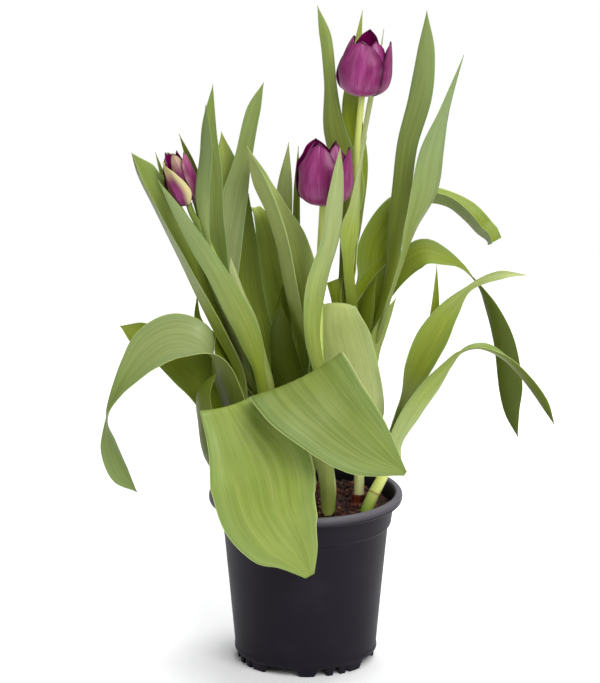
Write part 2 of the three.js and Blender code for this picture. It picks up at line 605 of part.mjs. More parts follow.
// Tepals: three outer ones that clasp the stem's end and three inner ones that stand on it. Each is a
// strip of a cup that narrows to a tip, with one margin a little further out than the other.
const tepalInset = 2.2; // of the inner ones, inside the outer ones
const tepalOverlap = 0.6;
const narrowing = 0.42; // the part of the length where a tepal begins to narrow

function tepalGrid(name, index, inner, lengthSteps, acrossSteps) {
  const flower = flowers[name];
  const [middle, spread, tall, closing, turned, blunt] = flower[inner ? 'inner' : 'outer'][index];
  const stem = stems[name];
  const base = stem.curve.getPointAt(1);
  const up = stem.curve.getTangentAt(1);
  const right = vec(1, 0, 0).addScaledVector(up, -up.x).normalize();
  const back = up.clone().cross(right);
  const wide = flower.radius - (inner ? tepalInset : 0);
  const startRadius = inner ? 1.7 : stem.radius[1] + 0.8;
  const startHeight = inner ? 0.8 : -1.2;
  const cup = [[0, 0], [0.5, 0.03], [0.86, 0.14], [1, 0.34],
    [lerp(1, closing, 0.12), 0.58], [lerp(1, closing, 0.5), 0.81], [closing, 1]];
  const line = new THREE.CatmullRomCurve3(cup.map(([r, h]) => vec(
    lerp(startRadius, wide, r), lerp(startHeight, flower.height * tall, h), 0)), false, 'centripetal');
  const grid = [];
  for (let i = 0; i <= lengthSteps; i += 1) {
    const u = i / lengthSteps;
    const { x: r, y: h } = line.getPointAt(u);
    const tip = Math.max(0, (u - narrowing) / (1 - narrowing));
    const half = Math.max(spread * Math.min(1, 0.72 + 0.9 * u) * (1 - tip ** blunt) ** 0.6, 1.7);
    const row = [];
    for (let j = 0; j <= acrossSteps; j += 1) {
      const v = (2 * j) / acrossSteps - 1;
      const angle = rad(middle + turned * smooth((u - 0.3) / 0.7) + half * v);
      const reach = r + tepalOverlap * v * smooth(u * 2);
      row.push(base.clone().addScaledVector(right, reach * Math.cos(angle))
        .addScaledVector(back, reach * Math.sin(angle)).addScaledVector(up, h));
    }
    grid.push(row);
  }
  return grid;
}

for (const name of Object.keys(flowers)) {
  for (let index = 0; index < 3; index += 1) {
    for (const inner of [false, true]) {
      const label = `${inner ? 'inner' : 'outer'}_tepal_${name}_${index + 1}`;
      addPiece(label, plate(tepalGrid(name, index, inner, 8, 6), tepalThick), tepalPurple);
    }
  }
}

// The whole plant is shifted sideways so that the origin is under the middle of its box.
const box = new THREE.Box3().setFromObject(plant);
const centre = box.getCenter(vec(0, 0, 0));
plant.position.set(-centre.x, -centre.y, -box.min.z);

export default model;
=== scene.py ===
import math

import bpy
import numpy as np
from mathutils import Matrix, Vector


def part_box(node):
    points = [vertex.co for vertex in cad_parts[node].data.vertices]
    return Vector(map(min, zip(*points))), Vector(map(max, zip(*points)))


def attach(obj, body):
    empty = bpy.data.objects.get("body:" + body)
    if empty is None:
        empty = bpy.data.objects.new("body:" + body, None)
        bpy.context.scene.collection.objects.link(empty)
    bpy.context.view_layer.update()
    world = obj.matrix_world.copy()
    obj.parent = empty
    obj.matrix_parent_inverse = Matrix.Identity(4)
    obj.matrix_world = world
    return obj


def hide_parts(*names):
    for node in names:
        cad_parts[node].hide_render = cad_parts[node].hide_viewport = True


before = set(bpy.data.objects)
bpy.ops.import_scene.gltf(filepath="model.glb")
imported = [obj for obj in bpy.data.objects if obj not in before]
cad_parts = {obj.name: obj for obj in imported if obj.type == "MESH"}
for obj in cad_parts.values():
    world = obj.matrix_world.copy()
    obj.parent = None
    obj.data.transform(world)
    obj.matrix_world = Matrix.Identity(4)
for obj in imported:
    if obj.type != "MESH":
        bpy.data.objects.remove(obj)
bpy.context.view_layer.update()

# A potted tulip. Every table below is in millimetres, measured from the pot's axis at the level of its feet.
potLow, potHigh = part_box("pot")
potAxis = np.array([(potLow.x + potHigh.x) * 500, (potLow.y + potHigh.y) * 500, 0])
soilTop = 98
print("frame loaded, pot axis at", potAxis.round(2))


def smooth(x):
    # 3x^2 - 2x^3 between 0 and 1
    x = np.clip(x, 0, 1)
    return x * x * (3 - 2 * x)


def mixed(a, b, share):
    return a + (b - a) * share


def seedOf(name):
    return sum(map(ord, name))


def fullTurn(sides):
    return np.linspace(0, 2 * math.pi, sides, endpoint=False)


def curveThrough(points, steps, fine=33):
    # centripetal Catmull-Rom through the points, sampled at even distances: the samples, the unit direction at each,
    # where each falls in the list of points, and the curve's length
    points = np.asarray(points, float)
    padded = np.vstack([2 * points[0] - points[1], points, 2 * points[-1] - points[-2]])
    p0, p1, p2, p3 = padded[:-3, None], padded[1:-2, None], padded[2:-1, None], padded[3:, None]
    knot = [np.sqrt(np.linalg.norm(b - a, axis=2, keepdims=True)) for a, b in ((p0, p1), (p1, p2), (p2, p3))]
    t1 = knot[0]
    t2 = t1 + knot[1]
    t3 = t2 + knot[2]
    part = np.linspace(0, 1, fine)[None, :, None]
    t = t1 + (t2 - t1) * part
    a1 = (t1 - t) / t1 * p0 + t / t1 * p1
    a2 = (t2 - t) / (t2 - t1) * p1 + (t - t1) / (t2 - t1) * p2
    a3 = (t3 - t) / (t3 - t2) * p2 + (t - t2) / (t3 - t2) * p3
    b1 = (t2 - t) / t2 * a1 + t / t2 * a2
    b2 = (t3 - t) / (t3 - t1) * a2 + (t - t1) / (t3 - t1) * a3
    dense = (t2 - t) / (t2 - t1) * b1 + (t - t1) / (t2 - t1) * b2
    place = np.arange(len(points) - 1)[:, None] + part[0, :, 0]
    dense = np.vstack([dense[:, :-1].reshape(-1, 3), dense[-1, -1:]])
    place = np.append(place[:, :-1].ravel(), place[-1, -1])
    run = np.append(0, np.cumsum(np.linalg.norm(np.diff(dense, axis=0), axis=1)))
    even = np.linspace(0, run[-1], steps + 1)
    line = np.stack([np.interp(even, run, dense[:, k]) for k in range(3)], 1)
    along = np.gradient(line, axis=0)
    along /= np.linalg.norm(along, axis=1, keepdims=True)
    return line, along, np.interp(even, run, place), run[-1]


def sheetFaces(rows, columns):
    # quads over a grid of points, over its copy on the other side turned round, and round the edge between the two
    count = rows * columns
    index = np.arange(count).reshape(rows, columns)
    upper = np.stack([index[:-1, :-1], index[1:, :-1], index[1:, 1:], index[:-1, 1:]], -1).reshape(-1, 4)
    edge = np.concatenate([index[:-1, 0], index[-1, :-1], index[:0:-1, -1], index[0, :0:-1]])
    after = np.roll(edge, -1)
    rim = np.stack([edge, edge + count, after + count, after], -1)
    return np.vstack([upper, upper[:, ::-1] + count, rim]).tolist()


def tubeFaces(rings, sides):
    # quads between each ring of points and the next, closed round the tube
    index = np.arange(rings * sides).reshape(rings, sides)
    turned = np.roll(index, -1, axis=1)
    return np.stack([index[:-1], turned[:-1], turned[1:], index[1:]], -1).reshape(-1, 4)


def closedTubeFaces(rings, sides):
    # the same, and a fan at each end round two more points: the first ring's middle, then the last ring's
    count = rings * sides
    here = np.arange(sides)
    after = np.roll(here, -1)
    start = np.stack([np.full(sides, count), after, here], 1)
    end = np.stack([np.full(sides, count + 1), count - sides + here, count - sides + after], 1)
    return tubeFaces(rings, sides).tolist() + start.tolist() + end.tolist()


def makePiece(name, points, faces, material, nodes=(), marks=None, uv=None):
    mesh = bpy.data.meshes.new(name)
    mesh.from_pydata((np.asarray(points, float) + potAxis) / 1000, [], faces)
    for key, values in (marks or {}).items():
        attribute = mesh.attributes.new(key, "FLOAT", "POINT")
        attribute.data.foreach_set("value", np.asarray(values, np.float32).ravel())
    if uv is not None:
        corner = np.empty(len(mesh.loops), np.int32)
        mesh.loops.foreach_get("vertex_index", corner)
        mesh.uv_layers.new(name="surface").data.foreach_set("uv", np.asarray(uv, np.float32)[corner].ravel())
    mesh.materials.append(material)
    mesh.shade_smooth()
    piece = bpy.data.objects.new(name, mesh)
    bpy.context.scene.collection.objects.link(piece)
    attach(piece, "root")
    if nodes:
        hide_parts(*nodes)


def unevenness(seed, shape, waves=5):
    # a smooth random field on a grid: the mean of a few cosines with random direction and phase
    dice = np.random.default_rng(seed)
    u, v = np.meshgrid(np.linspace(0, 1, shape[0]), np.linspace(-1, 1, shape[1]), indexing="ij")
    field = np.zeros(shape)
    for k in range(waves):
        field += np.cos(dice.uniform(2, 9) * u * math.pi + dice.uniform(-2, 2) * v + dice.uniform(0, 7))
    return field / waves


# Shader building blocks
def addNode(tree, kind, inputs=None, **settings):
    made = tree.nodes.new(kind)
    for key, value in settings.items():
        setattr(made, key, value)
    for key, value in (inputs or {}).items():
        if isinstance(value, bpy.types.NodeSocket):
            tree.links.new(value, made.inputs[key])
        else:
            made.inputs[key].default_value = value
    return made


def calc(tree, operation, a, b=0.0, c=0.0):
    return addNode(tree, "ShaderNodeMath", {0: a, 1: b, 2: c}, operation=operation).outputs[0]


def times(tree, a, b):
    return calc(tree, "MULTIPLY", a, b)


def band(tree, value, low, high):
    # 0 at low, 1 at high, eased between them
    return addNode(tree, "ShaderNodeMapRange", {"Value": value, "From Min": low, "From Max": high},
                   interpolation_type="SMOOTHSTEP").outputs[0]


def blend(tree, share, a, b):
    return addNode(tree, "ShaderNodeMix", {0: share, 6: a, 7: b}, data_type="RGBA").outputs[2]


def mark(tree, name):
    return addNode(tree, "ShaderNodeAttribute", attribute_name=name).outputs["Fac"]


def noise(tree, where, scale, detail, roughness=0.5):
    return addNode(tree, "ShaderNodeTexNoise", {"Vector": where, "Scale": scale, "Detail": detail,
                                                "Roughness": roughness}).outputs["Fac"]


def colour(red, green, blue):
    # an ordinary 0 to 255 screen colour, made linear
    return (*(((c / 255 + 0.055) / 1.055) ** 2.4 if c > 10 else c / 3294.6 for c in (red, green, blue)), 1)


def newMaterial(name, roughness, **plain):
    material = bpy.data.materials.new(name)
    material.use_nodes = True
    tree = material.node_tree
    shader = tree.nodes["Principled BSDF"]
    shader.inputs["Roughness"].default_value = roughness
    for key, value in plain.items():
        shader.inputs[key.replace("_", " ")].default_value = value
    return material, tree, shader


def layered(tree, look, base, *layers):
    # the look's colours laid over the base one after another, each by its own mask
    skin = look[base]
    for share, name in layers:
        skin = blend(tree, share, skin, look[name])
    return skin


def paint(tree, shader, skin, height, strength, distance):
    # colour, and a fine relief of so many metres
    tree.links.new(skin, shader.inputs["Base Color"])
    bump = addNode(tree, "ShaderNodeBump", {"Height": height, "Strength": strength, "Distance": distance})
    tree.links.new(bump.outputs[0], shader.inputs["Normal"])


def stretched(tree, across, along, seed, wide, long, detail):
    # noise over the blade, `wide` cells across it and `long` cells along it
    where = addNode(tree, "ShaderNodeCombineXYZ", {0: times(tree, across, wide), 1: times(tree, along, long), 2: seed})
    return noise(tree, where.outputs[0], 1.0, detail, 0.55)


def makeVeins():
    # streaks and fine dark lines that run from foot to tip, and a slow mottle
    group = bpy.data.node_groups.new("leafVeins", "ShaderNodeTree")
    for name in ("Across", "Along", "Seed", "Count"):
        group.interface.new_socket(name, in_out="INPUT", socket_type="NodeSocketFloat")
    for name in ("Streak", "Line", "Mottle", "Height"):
        group.interface.new_socket(name, in_out="OUTPUT", socket_type="NodeSocketFloat")
    given = addNode(group, "NodeGroupInput").outputs
    blade = (group, given["Across"], given["Along"], given["Seed"])
    streak = stretched(*blade, times(group, given["Count"], 0.45), 2.5, 2.0)
    line = stretched(*blade, times(group, given["Count"], 2.0), 3.5, 2.0)
    mottle = stretched(*blade, 1.8, 5.0, 3.0)
    addNode(group, "NodeGroupOutput", {
        "Streak": band(group, streak, 0.35, 0.7), "Line": band(group, line, 0.48, 0.7),
        "Mottle": band(group, mottle, 0.32, 0.68), "Height": calc(group, "MULTIPLY_ADD", line, -0.6, streak)})
    return group


veins = makeVeins()


def addVeins(tree, count):
    fed = {name: mark(tree, name.lower()) for name in ("Across", "Along", "Seed")}
    return addNode(tree, "ShaderNodeGroup", {**fed, "Count": count}, node_tree=veins).outputs


leafLook = {
    "outer": colour(136, 156, 104),  # the waxy grey-green back of the blade
    "inner": colour(122, 142, 66),
    "young": colour(190, 204, 92),  # near the stem
    "fresh": colour(150, 166, 20),
    # the deep colour is the dark green of the mottle and veins, and also painted shade where the dark mark lays it; the
    # pale colour is painted light
    "deepAndShade": colour(58, 70, 3),
    "pale": colour(196, 200, 158),
    "straw": colour(206, 208, 130),
    "margin": colour(112, 140, 92),
    "edge": colour(196, 204, 140),
    "roughness": 0.45,
    "gloss": 0.22,
    "translucence": 0.12,
    "veinCount": 24.0,
    "veinRelief": 0.35,
    "youngTo": 0.16,  # of the leaf's length
    "mottleShare": 0.18,
    "streakShare": 0.12,
    "lineShare": 0.2,
    "marginShare": 0.25,
    "edgeShare": 0.5,
}


def makeLeafSkin():
    # back and face colours, what makes each leaf fresher, then painted shade that deepens it or painted light that
    # pales it, a light foot, then veins and a thin light edge; where the painted shade is deepest the streaks and
    # margins fade
    look = leafLook
    material, tree, shader = newMaterial(
        "leafSkin", look["roughness"], Specular_IOR_Level=look["gloss"], Subsurface_Weight=look["translucence"],
        Subsurface_Radius=(0.5, 1.0, 0.1), Subsurface_Scale=0.0012)
    across, along, upper, warm, dark = (mark(tree, name) for name in ("across", "along", "upper", "warm", "dark"))
    vein = addVeins(tree, look["veinCount"])
    side = calc(tree, "ABSOLUTE", across)
    # streaks and margins show only where the dark mark lays little painted shade
    outsidePaintedShade = band(tree, dark, 0.85, 0.2)
    # the dark mark lays painted shade in the deep colour where it is above 0, and painted light in the pale colour
    # where it is below 0
    skin = layered(
        tree, look, "outer", (upper, "inner"), (warm, "fresh"), (dark, "deepAndShade"), (times(tree, dark, -1.0), "pale"),
        (times(tree, band(tree, along, look["youngTo"], 0.02), 0.6), "young"),
        (times(tree, vein["Mottle"], look["mottleShare"]), "deepAndShade"),
        (times(tree, times(tree, vein["Streak"], outsidePaintedShade), look["streakShare"]), "straw"),
        (times(tree, vein["Line"], look["lineShare"]), "deepAndShade"),
        (times(tree, band(tree, side, 0.45, 1.0), times(tree, outsidePaintedShade, look["marginShare"])), "margin"),
        (times(tree, band(tree, side, 0.968, 0.992), look["edgeShare"]), "edge"))
    rough = calc(tree, "MULTIPLY_ADD", vein["Mottle"], 0.12, look["roughness"] - 0.06)
    tree.links.new(rough, shader.inputs["Roughness"])
    paint(tree, shader, skin, vein["Height"], look["veinRelief"], 0.00025)
    return material


leafSkin = makeLeafSkin()

petalLook = {
    "mid": colour(122, 26, 86),
    # light: the colour of the streaks and of the painted highlight down the middle
    "light": colour(168, 76, 140),
    "deepAndShade": colour(84, 4, 58),
    "inside": colour(128, 8, 88),
    "rim": colour(60, 0, 40),
    "cream": colour(214, 206, 142),
    "foot": colour(142, 108, 152),
    "roughness": 0.36,
    "gloss": 0.35,
    "translucence": 0.12,
    "veinCount": 13.0,
    "veinRelief": 0.4,
    "streakShare": 0.55,
    "lineShare": 0.5,
    "rimShare": 0.95,
    "creamShare": 0.9,
    "footShare": 0.45,
}


def makePetalSkin():
    # a satin skin with long streaks and a painted highlight down its middle, painted shade towards its margins and over
    # the inner petals, dark inside and at the rim; an unripe petal has cream margins as well
    look = petalLook
    material, tree, shader = newMaterial(
        "petalSkin", look["roughness"], Specular_IOR_Level=look["gloss"], Subsurface_Weight=look["translucence"],
        Subsurface_Radius=(1.0, 0.3, 0.8), Subsurface_Scale=0.001)
    across, along, upper, unripe, dark = (mark(tree, name) for name in ("across", "along", "upper", "unripe", "dark"))
    vein = addVeins(tree, look["veinCount"])
    side = calc(tree, "ABSOLUTE", across)
    streak = times(tree, vein["Streak"], look["streakShare"])
    light = calc(tree, "MULTIPLY_ADD", band(tree, side, 0.55, 0.0), 0.3, streak)
    rim = calc(tree, "MAXIMUM", band(tree, side, 0.9, 0.97), band(tree, along, 0.94, 0.99))
    margin = calc(tree, "MAXIMUM", band(tree, side, 0.35, 0.9), band(tree, along, 0.55, 0.95))
    cream = times(tree, times(tree, margin, unripe), look["creamShare"])
    # light lays the streaks and a painted highlight down the middle; the deep colour by the side band is painted shade
    # towards the margins, and by the dark mark painted shade on the inner petals
    skin = layered(
        tree, look, "mid", (light, "light"), (times(tree, vein["Line"], look["lineShare"]), "deepAndShade"),
        (times(tree, vein["Mottle"], 0.25), "mid"), (times(tree, band(tree, side, 0.45, 1.0), 0.4), "deepAndShade"),
        (upper, "inside"), (times(tree, band(tree, along, 0.25, 0.03), look["footShare"]), "foot"),
        (times(tree, rim, look["rimShare"]), "rim"),
        (times(tree, cream, calc(tree, "SUBTRACT", 1.0, upper)), "cream"), (dark, "deepAndShade"))
    paint(tree, shader, skin, vein["Height"], look["veinRelief"], 0.0002)
    return material


petalSkin = makePetalSkin()

stemLook = {
    "green": colour(128, 158, 50),
    "pale": colour(208, 216, 120),
    "cream": colour(232, 232, 172),
    "bulb": colour(118, 48, 24),
    "bulbDark": colour(62, 22, 14),
    "roughness": 0.4,
    "gloss": 0.45,
    "translucence": 0.15,
    "creamFrom": 34.0,  # above the soil
    "ringShare": 0.7,
}


def makeStemSkin():
    # pale and almost white where it leaves the bulb, greener above, with faint lengthwise lines and a brown ring at a
    # node; below the soil the same piece is the brown bulb
    look = stemLook
    material, tree, shader = newMaterial(
        "stemSkin", look["roughness"], Specular_IOR_Level=look["gloss"], Subsurface_Weight=look["translucence"],
        Subsurface_Radius=(0.6, 1.0, 0.3), Subsurface_Scale=0.002)
    around, rise, bulb, pale = (mark(tree, name) for name in ("around", "rise", "bulb", "pale"))
    lines = addNode(tree, "ShaderNodeCombineXYZ", {0: times(tree, around, 26.0), 1: times(tree, rise, 0.03)})
    streak = noise(tree, lines.outputs[0], 1.0, 3.0)
    skin = layered(
        tree, look, "green", (pale, "pale"),
        (times(tree, band(tree, rise, look["creamFrom"], 4.0), mark(tree, "cream")), "cream"),
        (times(tree, band(tree, streak, 0.4, 0.7), 0.22), "green"),
        (times(tree, mark(tree, "ring"), look["ringShare"]), "bulb"))
    husk = layered(tree, look, "bulb", (band(tree, streak, 0.35, 0.65), "bulbDark"))
    paint(tree, shader, blend(tree, bulb, skin, husk), streak, 0.35, 0.0003)
    return material


stemSkin = makeStemSkin()


# Flowers and stems. Each petal: compass angle, half its spread in degrees, its share of the flower's height, how much
# of the flower's radius is left at its tip, how far the tip turns sideways, and how blunt the tip is.
flowers = {
    "top": dict(radius=16.2, height=35.5, unripe=(0, 0, 0), outer=[
        (-114, 63, 0.98, 0.64, 8, 2.8), (4, 51, 0.95, 0.84, -4, 2.2), (119, 57, 0.84, 0.8, -34, 5)], inner=[
        (-54, 42, 0.97, 0.5, 4, 3.6), (82, 44, 1.1, 0.42, -4, 5), (186, 50, 1.0, 0.5, -8, 6)]),
    "centre": dict(radius=16.8, height=39, unripe=(0, 0, 0), outer=[
        (-112, 56, 1, 0.52, 0, 2.2), (0, 54, 0.92, 0.8, -6, 2.2), (126, 56, 0.98, 0.6, -4, 3)], inner=[
        (-50, 46, 0.99, 0.54, 4, 3), (50, 46, 0.98, 0.5, -6, 2.6), (176, 48, 0.95, 0.42, -20, 3)]),
    "bud": dict(radius=9.2, height=34, unripe=(1, 0.1, 0.4), outer=[
        (-122, 60, 0.87, 0.68, -32, 2), (-4, 60, 0.92, 0.66, -10, 3), (118, 60, 0.96, 0.56, 0, 3.4)], inner=[
        (-58, 52, 0.98, 0.4, -24, 3.4), (62, 50, 0.96, 0.42, -10, 4), (176, 50, 1, 0.4, -6, 4)]),
}
# Each stem: its radius at the soil and at its top, how pale it is up there, the height where it starts to pale, how
# cream its foot is, where a node rings it, and the points that it runs through.
stems = {
    "centre": dict(radius=(3.9, 2.2), pale=0.75, greenTo=104, cream=0, points=[
        (14, -22, 90), (14, -22, 100), (15, -21, 114), (13, -18, 131), (9, -13, 157), (8, -9, 181), (8, -7, 231),
        (10.5, -5, 291)]),
    "top": dict(radius=(3.2, 1.9), pale=0.8, greenTo=80, cream=0.85, points=[
        (33, 2, 99), (33, 2, 106), (33, 2, 116), (31, 4, 139), (28, 6, 170), (26, 8, 225), (28, 9, 259),
        (31, 10, 321), (34, 10, 355.5)]),
    "bud": dict(radius=(3.4, 1.9), pale=0.3, greenTo=90, cream=0.2, points=[
        (-27, 9, 90), (-27, 9, 100), (-27, 9, 118), (-27, 8, 144), (-29, 6, 170), (-37, 4, 203), (-49, 1, 239),
        (-61, -2, 269), (-69, -4, 285), (-71, -4, 291)]),
    "right": dict(radius=(3.9, 2.6), pale=1.0, node=111, greenTo=98, cream=0, points=[
        (37, -16, 88), (37, -16, 98), (40, -15, 106), (47, -13, 120), (54, -10, 135), (59, -7, 147)]),
    "back": dict(radius=(3, 2.4), pale=0.3, greenTo=90, cream=0.3, points=[
        (27, 28, 80), (29, 31, 91), (33, 34.5, 101), (33, 35, 112), (35, 34, 130), (37, 33, 156), (39, 32, 182)]),
    "middle": dict(radius=(3, 2.3), pale=0.4, greenTo=90, cream=0.3, points=[
        (5, 17, 98), (4, 17, 106), (3, 17, 114), (-1, 16, 135), (-3, 15, 158), (-3, 15, 166)]),
    "left": dict(radius=(3.4, 2.4), pale=0.3, greenTo=90, cream=0.3, points=[
        (-35.5, -15.5, 86), (-36.5, -16, 98), (-36, -16, 113), (-33, -15, 135), (-30, -14, 154), (-29, -13, 166)]),
}
stemShape = {
    "rows": 90,
    "sides": 28,
    "ribs": 0.012,  # of the radius
    "nodeHeight": 0.3,
    "nodeWidth": 0.5,
    "taper": 14,  # length over which a shoot with no flower narrows to its tip
    "bulbRows": 40,
}
bulbs = {
    "centre": dict(at=(14, -22), radius=12, nose=96),
    "top": dict(at=(33, 2), radius=9.2, nose=105),
    "bud": dict(at=(-27, 9), radius=12, nose=96),
    "right": dict(at=(37, -16), radius=7.8, nose=95),
    "back": dict(at=(27, 28), radius=7.6, nose=88),
    "middle": dict(at=(5, 17), radius=11, nose=105.5),
    "left": dict(at=(-35.5, -15.5), radius=8.2, nose=95),
}
bulbShape = {
    "height": 33,
    "rows": 48,
    "sides": 56,
    "share": [0, 0.02, 0.12, 0.36, 0.58, 0.79, 0.91, 1],  # of the height
    "width": [0.3, 0.42, 0.8, 1, 0.94, 0.62, 0.36, 0.2],  # of the radius
    "neck": 1.3,  # the nose stands so far out from the stem
    "gap": 0.5,
}
for stem in stems.values():
    stem["line"], stem["along"] = curveThrough(stem["points"], stemShape["rows"])[:2]


def stemRadius(stem, z):
    return mixed(*stem["radius"], np.clip((z - soilTop) / (stem["line"][-1, 2] - soilTop), 0, 1))


def stemAt(name, height):
    # middle and radius of a stem so far above the soil
    line = stems[name]["line"]
    z = soilTop + height
    return np.array([np.interp(z, line[:, 2], line[:, k]) for k in range(3)]), stemRadius(stems[name], z)


def tube(path, along, radius, sides, ribs):
    # P(i, a) = path(i) + radius(i) * (1 + ribs * cos 7a) * (x cos a + y sin a), x and y square to the path;
    # a closed point at each end
    x = np.array([1.0, 0, 0]) - along * along[:, :1]
    x /= np.linalg.norm(x, axis=1, keepdims=True)
    y = np.cross(along, x)
    turn = fullTurn(sides)
    reach = radius[:, None] * (1 + ribs * np.cos(7 * turn))
    ring = x[:, None] * np.cos(turn)[None, :, None] + y[:, None] * np.sin(turn)[None, :, None]
    points = (path[:, None] + ring * reach[..., None]).reshape(-1, 3)
    return np.vstack([points, path[:1], path[-1:]]), closedTubeFaces(len(path), sides)


def bulbWidth(share, bulb):
    return np.interp(share, bulbShape["share"], bulbShape["width"]) * bulb["radius"]


def makeStem(name):
    # a stem from its bulb to the flower or to a hidden growing tip; a shoot with no flower is one piece with its bulb
    shape, stem, bulb, node = stemShape, stems[name], bulbs[name], "stem_" + name
    line, along, sides = stem["line"], stem["along"], shape["sides"]
    ring = np.exp(-((line[:, 2] - stem.get("node", 0)) / shape["nodeWidth"]) ** 2)
    radius = stemRadius(stem, line[:, 2]) + shape["nodeHeight"] * ring
    husk = np.zeros(len(line))
    if name not in flowers:
        node = "shoot_" + name
        rows = shape["bulbRows"]
        radius = radius * np.minimum(1, 0.3 + (line[-1, 2] - line[:, 2]) / shape["taper"])
        low = bulb["nose"] - bulbShape["height"]
        z = np.linspace(low, line[0, 2] - 0.6, rows)
        share = (z - low) / bulbShape["height"]
        below = np.column_stack([mixed(np.array(bulb["at"]), line[0, :2], smooth((share - 0.6) / 0.4)[:, None]), z])
        swell = np.maximum(bulbWidth(share, bulb), stem["radius"][0] * 1.02 * smooth(share * 5))
        line, radius = np.vstack([below, line]), np.append(swell, radius)
        along = np.vstack([np.tile((0, 0, 1.0), (rows, 1)), along])
        husk = np.append(np.ones(rows), smooth((bulb["nose"] + 2 - line[rows:, 2]) / 3))
        ring = np.append(np.zeros(rows), ring)
    pale = smooth((line[:, 2] - stem["greenTo"]) / 16) * stem["pale"]
    cream = np.full(len(line), stem["cream"])
    marks = {"rise": (line[:, 2] - soilTop, 0, 200), "bulb": (husk, husk[0], 0), "pale": (pale, 0, stem["pale"]),
             "cream": (cream, stem["cream"], stem["cream"]), "ring": (ring, 0, 0)}  # over the rings, then at the ends
    marks = {key: np.append(np.repeat(rings, sides), ends) for key, (rings, *ends) in marks.items()}
    marks["around"] = np.append(np.tile(np.arange(sides) / sides, len(line)), (0, 0))
    points, faces = tube(line, along, radius, sides, shape["ribs"])
    makePiece(node, points, faces, stemSkin, [node], marks)


for name in stems:
    makeStem(name)
print("stems made")


def makeBulb(name):
    # P(z, a) = (r(z, a) cos a, r(z, a) sin a, z): a teardrop with a socket for the stem, its papery skin a little wavy
    bulb, shape = bulbs[name], bulbShape
    nose, stemFoot = bulb["nose"], stems[name]["radius"][0]
    share = np.linspace(0, 1, shape["rows"])
    width = np.maximum(bulbWidth(share, bulb), (stemFoot + shape["neck"]) * smooth(share * 4))
    hole = stemFoot + shape["gap"]
    z = np.append(nose - shape["height"] + share * shape["height"], (nose, nose - 1, nose - 3, nose - 5))
    r = np.append(width, (hole + 0.1, hole, hole, hole))
    sides = shape["sides"]
    turn = fullTurn(sides)
    wobble = 1 + 0.025 * np.cos(3 * turn + 1)[None, :] + 0.012 * np.cos(11 * turn + z[:, None] * 0.3)
    wobble[shape["rows"]:] = 1
    reach = r[:, None] * wobble
    points = np.stack([bulb["at"][0] + reach * np.cos(turn), bulb["at"][1] + reach * np.sin(turn),
                       np.repeat(z[:, None], sides, 1)], -1).reshape(-1, 3)
    points = np.vstack([points, (*bulb["at"], z[0]), (*bulb["at"], z[-1])])
    marks = {"around": np.append(np.tile(np.arange(sides) / sides, len(z)), (0, 0))}
    marks |= {key: np.full(len(points), value) for key, value in dict(rise=-5.0, bulb=1, pale=0, cream=0).items()}
    faces = closedTubeFaces(len(z), sides)
    makePiece("bulb_" + name, points, faces, stemSkin, ["bulb_" + name], marks)


for name in flowers:
    makeBulb(name)
print("bulbs made")
